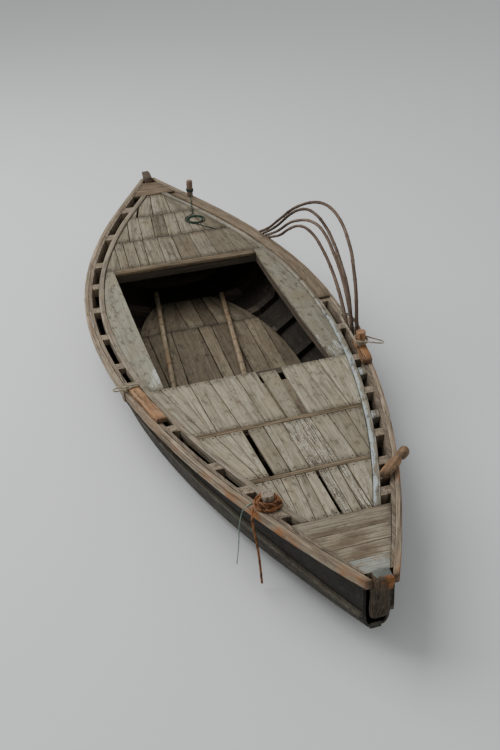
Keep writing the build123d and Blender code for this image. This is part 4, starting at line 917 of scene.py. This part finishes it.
# The bark is darker towards the canes' after ends: painted shade where the arches come down into shadow.
cane_bark = wood_finish(
    "cane_bark", (0.225, 0.163, 0.12), (0.082, 0.055, 0.04), (0.055, 0.037, 0.028), Cracks=0.5,
    relief=0.002, where=(("Staining", "x", -0.9, 0.1, 1.0, 0.6),))
CANE_STEP, CANE_SIDES = 0.012, 9
CANE_FOOT, CANE_THINNING = 0.0143, 0.0028
KNUCKLE_RISE, KNUCKLE_REACH = 0.002, 0.009
dice = random.Random(41)
for number, route in enumerate(CANE_ROUTES):
    points = even_steps(line_through("cane", route), CANE_STEP)
    knuckles, walked = [], 0.1
    while walked < 2.4:
        knuckles.append(walked)
        walked += dice.uniform(0.13, 0.24)
    rings = []
    for i, (point, (across, up)) in enumerate(zip(points, across_and_up(points))):
        along = i * CANE_STEP
        radius = CANE_FOOT - CANE_THINNING * along / (CANE_STEP * len(points))
        for knuckle in knuckles:
            radius += KNUCKLE_RISE * math.exp(-((along - knuckle) / KNUCKLE_REACH) ** 2)
        sway = 0.004 * noise.noise(point * 5.0 + Vector((number, 0, 0)))
        rings.append([
            point + across * (math.cos(a) * radius + sway) + up * math.sin(a) * radius
            for a in (2 * math.pi * j / CANE_SIDES for j in range(CANE_SIDES))
        ])
    stick = round_piece("cane_%d" % (number + 1), rings, cane_bark, 50 + number, 60)
    if number == 0:
        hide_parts("cane_hoops")


# The oars: peeled poles, crooked and knotty, each with a flat blade under the foredeck. They lie loose on
# the bottom boards.
OAR_LINES = (
    ("starboard", Vector((-1.7, -0.213, 0.0343)), Vector((-0.166, -0.42, 0.0343)), 2.25, 3),
    ("port", Vector((-1.49, 0.334, 0.0343)), Vector((-0.205, 0.145, 0.0343)), 2.548, 8),
)
# The oars grow darker and browner towards their aft ends: painted shade where they run into the shadow under
# the after deck.
oar_wood = wood_finish(
    "oar_wood", (0.44, 0.375, 0.265), (0.215, 0.165, 0.105), (0.21, 0.115, 0.055), Cracks=0.35,
    relief=0.002, where=(("Staining", "x", -1.45, -1.1, 1.0, 0.45),))
OAR_STEP, OAR_RADIUS, OAR_LIMIT = 0.01, 0.0212, 0.0243
BLADE_LENGTH, BLADE_TAPER = 0.5, 0.12
BLADE_HALF_WIDTH, BLADE_HALF_THICKNESS = 0.057, 0.0088
KNOTS, KNOT_GAP, KNOT_RISE, KNOT_REACH = 14, 0.185, 0.0045, 0.016
TIP_LENGTH = 0.012
for side, tip, on, length, seed in OAR_LINES:
    run = (on - tip).normalized()
    aside = Vector((0, 0, 1)).cross(run)
    points, radii, marks = [], [], []
    count = round(length / OAR_STEP)
    for i in range(count + 1):
        along = length * i / count
        blade = max(0.0, min(1.0, (along - length + BLADE_LENGTH) / BLADE_TAPER))
        bend = 0.006 * noise.noise(Vector((along * 1.6, seed, 0.0))) * (1.0 - blade)
        points.append(tip + run * along + aside * bend)
        radius = OAR_RADIUS + 0.0022 * noise.noise(Vector((along * 3.0, seed, 4.0)))
        mark = 0.0
        for knot in range(KNOTS):
            at = 0.1 + KNOT_GAP * knot + 0.05 * math.sin(knot * 5.0 + seed)
            radius += KNOT_RISE * math.exp(-((along - at) / KNOT_REACH) ** 2)
            mark = max(mark, 0.9 * math.exp(-((along - at - 0.012) / 0.01) ** 2))
        marks.append(mark * (1.0 - blade))
        radius = min(radius, OAR_LIMIT)
        if along < TIP_LENGTH:
            radius *= 0.6 + 0.4 * along / TIP_LENGTH
        rounded = 1.0 - 0.55 * max(0.0, (along - length + 0.05) / 0.05) ** 2
        radii.append((
            radius + (BLADE_HALF_WIDTH - radius) * blade * rounded,
            radius + (BLADE_HALF_THICKNESS - radius) * blade,
        ))
    turned_stick(
        side + "_oar_pole", points, radii, oar_wood, side + "_oar", lumps=0.05, seed=seed,
        marks=marks)


# The rope turns on the mooring post: the same thick rusty rope as its hanging end. It is wound in three
# layers, each pulled tight over the last.
winding = []
MOOR_X, MOOR_Y, MOOR_Z = 1.97, -0.3522, 0.5058
STEPS_A_TURN = 14
WINDING = ((0.0436, 0.0092, 0.044, 3), (0.0602, 0.045, 0.0092, 3), (0.0762, 0.011, 0.018, 1.35))
for reach, z_from, z_to, turns_made in WINDING:
    steps_made = round(turns_made * STEPS_A_TURN)
    for i in range(steps_made):
        share = i / steps_made
        angle = math.radians(-75) + 2 * math.pi * turns_made * share
        wobble = 0.0012 * math.sin(3.0 * angle + reach * 400)
        winding.append((
            MOOR_X + (reach + wobble) * math.cos(angle), MOOR_Y + (reach + wobble) * math.sin(angle),
            MOOR_Z + z_from + (z_to - z_from) * share + 0.001 * math.sin(2.0 * angle)))
laid_rope(
    "mooring_post_rope", line_through("winding", winding), ROPE_RADIUS, rusty_rope, "rope_rusty",
    "mooring_post_turns")


# The cord turns on the after post: three turns of the quarter line's own dark green cord, wound round
# the post's waist.
AFTER_X, AFTER_Y, AFTER_Z = -2.357, 0.3076, 0.6359
CORD_REACH, CORD_UP, CORD_PITCH = 0.0315, 0.0375, 0.006
cord_turns = []
for i in range(3 * STEPS_A_TURN):
    angle = 2 * math.pi * i / STEPS_A_TURN
    cord_turns.append((
        AFTER_X + CORD_REACH * math.cos(angle), AFTER_Y + CORD_REACH * math.sin(angle),
        AFTER_Z + CORD_UP + CORD_PITCH * i / STEPS_A_TURN * 1.45))
cord_line = line_through("cord_turns", cord_turns)
laid_rope(
    "after_post_cord", cord_line, QUARTER_RADIUS, dark_green_cord, "cord_green", "after_post_turns", sides=5)


# The oar lashings: pale old rope, wound hard round post, canes and pads, and finished with a loose loop
# for the oar.
pale_rope = rope_finish(
    "pale_rope", ((0.39, 0.335, 0.245, 1), (0.185, 0.145, 0.095, 1), (0.52, 0.47, 0.37, 1)))
LASHING_RADIUS = 0.006
PORT_CORNERS = (
    (0.5103, 0.782), (0.5115, 0.832), (0.506, 0.8735), (0.44, 0.88), (0.29, 0.8905), (0.125, 0.9005),
    (0.09, 0.892), (0.085, 0.862), (0.092, 0.826), (0.125, 0.8195), (0.29, 0.803), (0.44, 0.7885),
    (0.49, 0.78),
)
port_route = []
for turn_number in range(2):
    for i, (x, y) in enumerate(PORT_CORNERS):
        port_route.append((x, y, 0.5012 + 0.014 * (turn_number + i / len(PORT_CORNERS))))
port_route += [
    (0.5105, 0.789, 0.53), (0.53, 0.85, 0.527), (0.568, 0.93, 0.52), (0.57, 0.962, 0.5172),
    (0.544, 0.969, 0.5172), (0.508, 0.93, 0.5215), (0.465, 0.876, 0.53), (0.431, 0.862, 0.5312),
    (0.429, 0.825, 0.5312), (0.432, 0.7935, 0.5312), (0.469, 0.7875, 0.5312),
]
STARBOARD_TURNS = ((0.43, -0.8851, -0.7756), (0.444, -0.8828, -0.7733), (0.458, -0.8804, -0.7709))
starboard_route = []
for x, out_y, in_y in STARBOARD_TURNS:
    starboard_route += [
        (x - 0.004, in_y, 0.425), (x - 0.003, in_y, 0.478), (x - 0.002, in_y - 0.006, 0.4852),
        (x, (in_y + out_y) / 2, 0.4856), (x, out_y + 0.006, 0.4854), (x, out_y, 0.479), (x, out_y, 0.425),
        (x + 0.002, out_y, 0.376), (x + 0.003, out_y + 0.006, 0.3702),
        (x + 0.004, (in_y + out_y) / 2, 0.3702),
        (x + 0.006, in_y - 0.006, 0.3702), (x + 0.008, in_y, 0.376),
    ]
starboard_route += [
    (0.47, -0.7712, 0.47), (0.476, -0.776, 0.4855), (0.484, -0.816, 0.488), (0.5, -0.86, 0.4885),
    (0.498, -0.905, 0.485), (0.484, -0.942, 0.477), (0.462, -0.95, 0.4756), (0.446, -0.938, 0.477),
    (0.466, -0.89, 0.489), (0.48, -0.845, 0.4905), (0.487, -0.82, 0.4895),
]
for side, route in (("port", port_route), ("starboard", starboard_route)):
    name = side + "_lashing_rope"
    laid_rope(name, line_through(name, route), LASHING_RADIUS, pale_rope, "rope_pale", side + "_lashing")


# The nails: rusted iron heads, hammered flush with the deck, two at each end of a board and one where the
# board is narrow.
NAIL_RADIUS, NAIL_FLATNESS, NAIL_LIFT = 0.0048, 0.35, 0.0002
bpy.ops.object.select_all(action="DESELECT")
bpy.ops.mesh.primitive_uv_sphere_add(segments=8, ring_count=5, radius=NAIL_RADIUS, location=(0, 0, 0))
nail_shape = bpy.context.active_object
bm = bmesh.new()
for x, y, z in nail_places:
    one = bmesh.new()
    one.from_mesh(nail_shape.data)
    bmesh.ops.scale(one, vec=(1.0, 1.0, NAIL_FLATNESS), verts=one.verts)
    bmesh.ops.translate(one, vec=(x, y, z + NAIL_LIFT), verts=one.verts)
    spare = bpy.data.meshes.new("spare")
    one.to_mesh(spare)
    one.free()
    bm.from_mesh(spare)
    bpy.data.meshes.remove(spare)
bpy.data.objects.remove(nail_shape)
nail_rust, nodes, shader = new_finish("nail_rust", 0.5)
crust = nodes.mottle(nodes.place(), 350.0, 3.0)
rust = nodes.blend(crust, (0.03, 0.02, 0.015, 1), (0.1, 0.048, 0.024, 1))
nodes.feed(shader, Base_Color=rust, Roughness=nodes.ramp(crust, 0.0, 1.0, 0.6, 0.95))
nails = new_piece("deck_nails", bm, nail_rust)
smooth_sides(nails, 40)
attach(nails, "root")


# The studio: a pale floor at the waterline, with an opening the shape of the hull there, and soft light
# from a pale sky and one wide lamp.
FLOOR_REACH = 70.0
OUTLINE_STEP, INSIDE_SKIN, LEAST_WIDTH = 0.06, 0.008, 0.004
cut = bmesh.new()
for strake in ("garboard", "bottom_plank", "lower_bilge_plank", "upper_bilge_plank", "topside_plank"):
    cut.from_mesh(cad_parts[strake + "_port"].data)
waterline = bmesh.ops.bisect_plane(
    cut, geom=cut.verts[:] + cut.edges[:] + cut.faces[:], plane_co=(0, 0, 0), plane_no=(0, 0, 1))["geom_cut"]
outline = {}
for item in waterline:
    if isinstance(item, bmesh.types.BMVert):
        key = round(item.co.x / OUTLINE_STEP)
        if key not in outline or item.co.y > outline[key].y:
            outline[key] = item.co.copy()
cut.free()
edge = [(outline[key].x, max(outline[key].y - INSIDE_SKIN, LEAST_WIDTH)) for key in sorted(outline)]
edge += [(x, -y) for x, y in reversed(edge)]
floor_corners = [(-FLOOR_REACH, -FLOOR_REACH), (FLOOR_REACH, -FLOOR_REACH), (FLOOR_REACH, FLOOR_REACH),
                 (-FLOOR_REACH, FLOOR_REACH)]
bm = bmesh.new()
for loop in (edge, floor_corners):
    corners = [bm.verts.new((x, y, 0.0)) for x, y in loop]
    for a, b in zip(corners, corners[1:] + corners[:1]):
        bm.edges.new((a, b))
bmesh.ops.triangle_fill(bm, edges=bm.edges[:], use_beauty=True, normal=(0, 0, 1))
floor_paint, nodes, shader = new_finish("studio_floor", 0.5)
shader.inputs["Base Color"].default_value = (0.7, 0.71, 0.71, 1)
shader.inputs["Roughness"].default_value = 0.9
floor = new_piece("studio_floor", bm, floor_paint)

sky = bpy.data.worlds.new("studio_sky")
bpy.context.scene.world = sky
sky.use_nodes = True
light = sky.node_tree.nodes["Background"].inputs
light["Color"].default_value = (0.9, 0.91, 0.91, 1)
light["Strength"].default_value = 0.55
lamp_data = bpy.data.lights.new("wide_lamp", "AREA")
lamp_data.energy = 900.0
lamp_data.size = 9.0
lamp = in_scene("wide_lamp", lamp_data)
lamp.location = (-3.0, -4.5, 8.0)
lamp.rotation_euler = (-lamp.location).to_track_quat("-Z", "Y").to_euler()
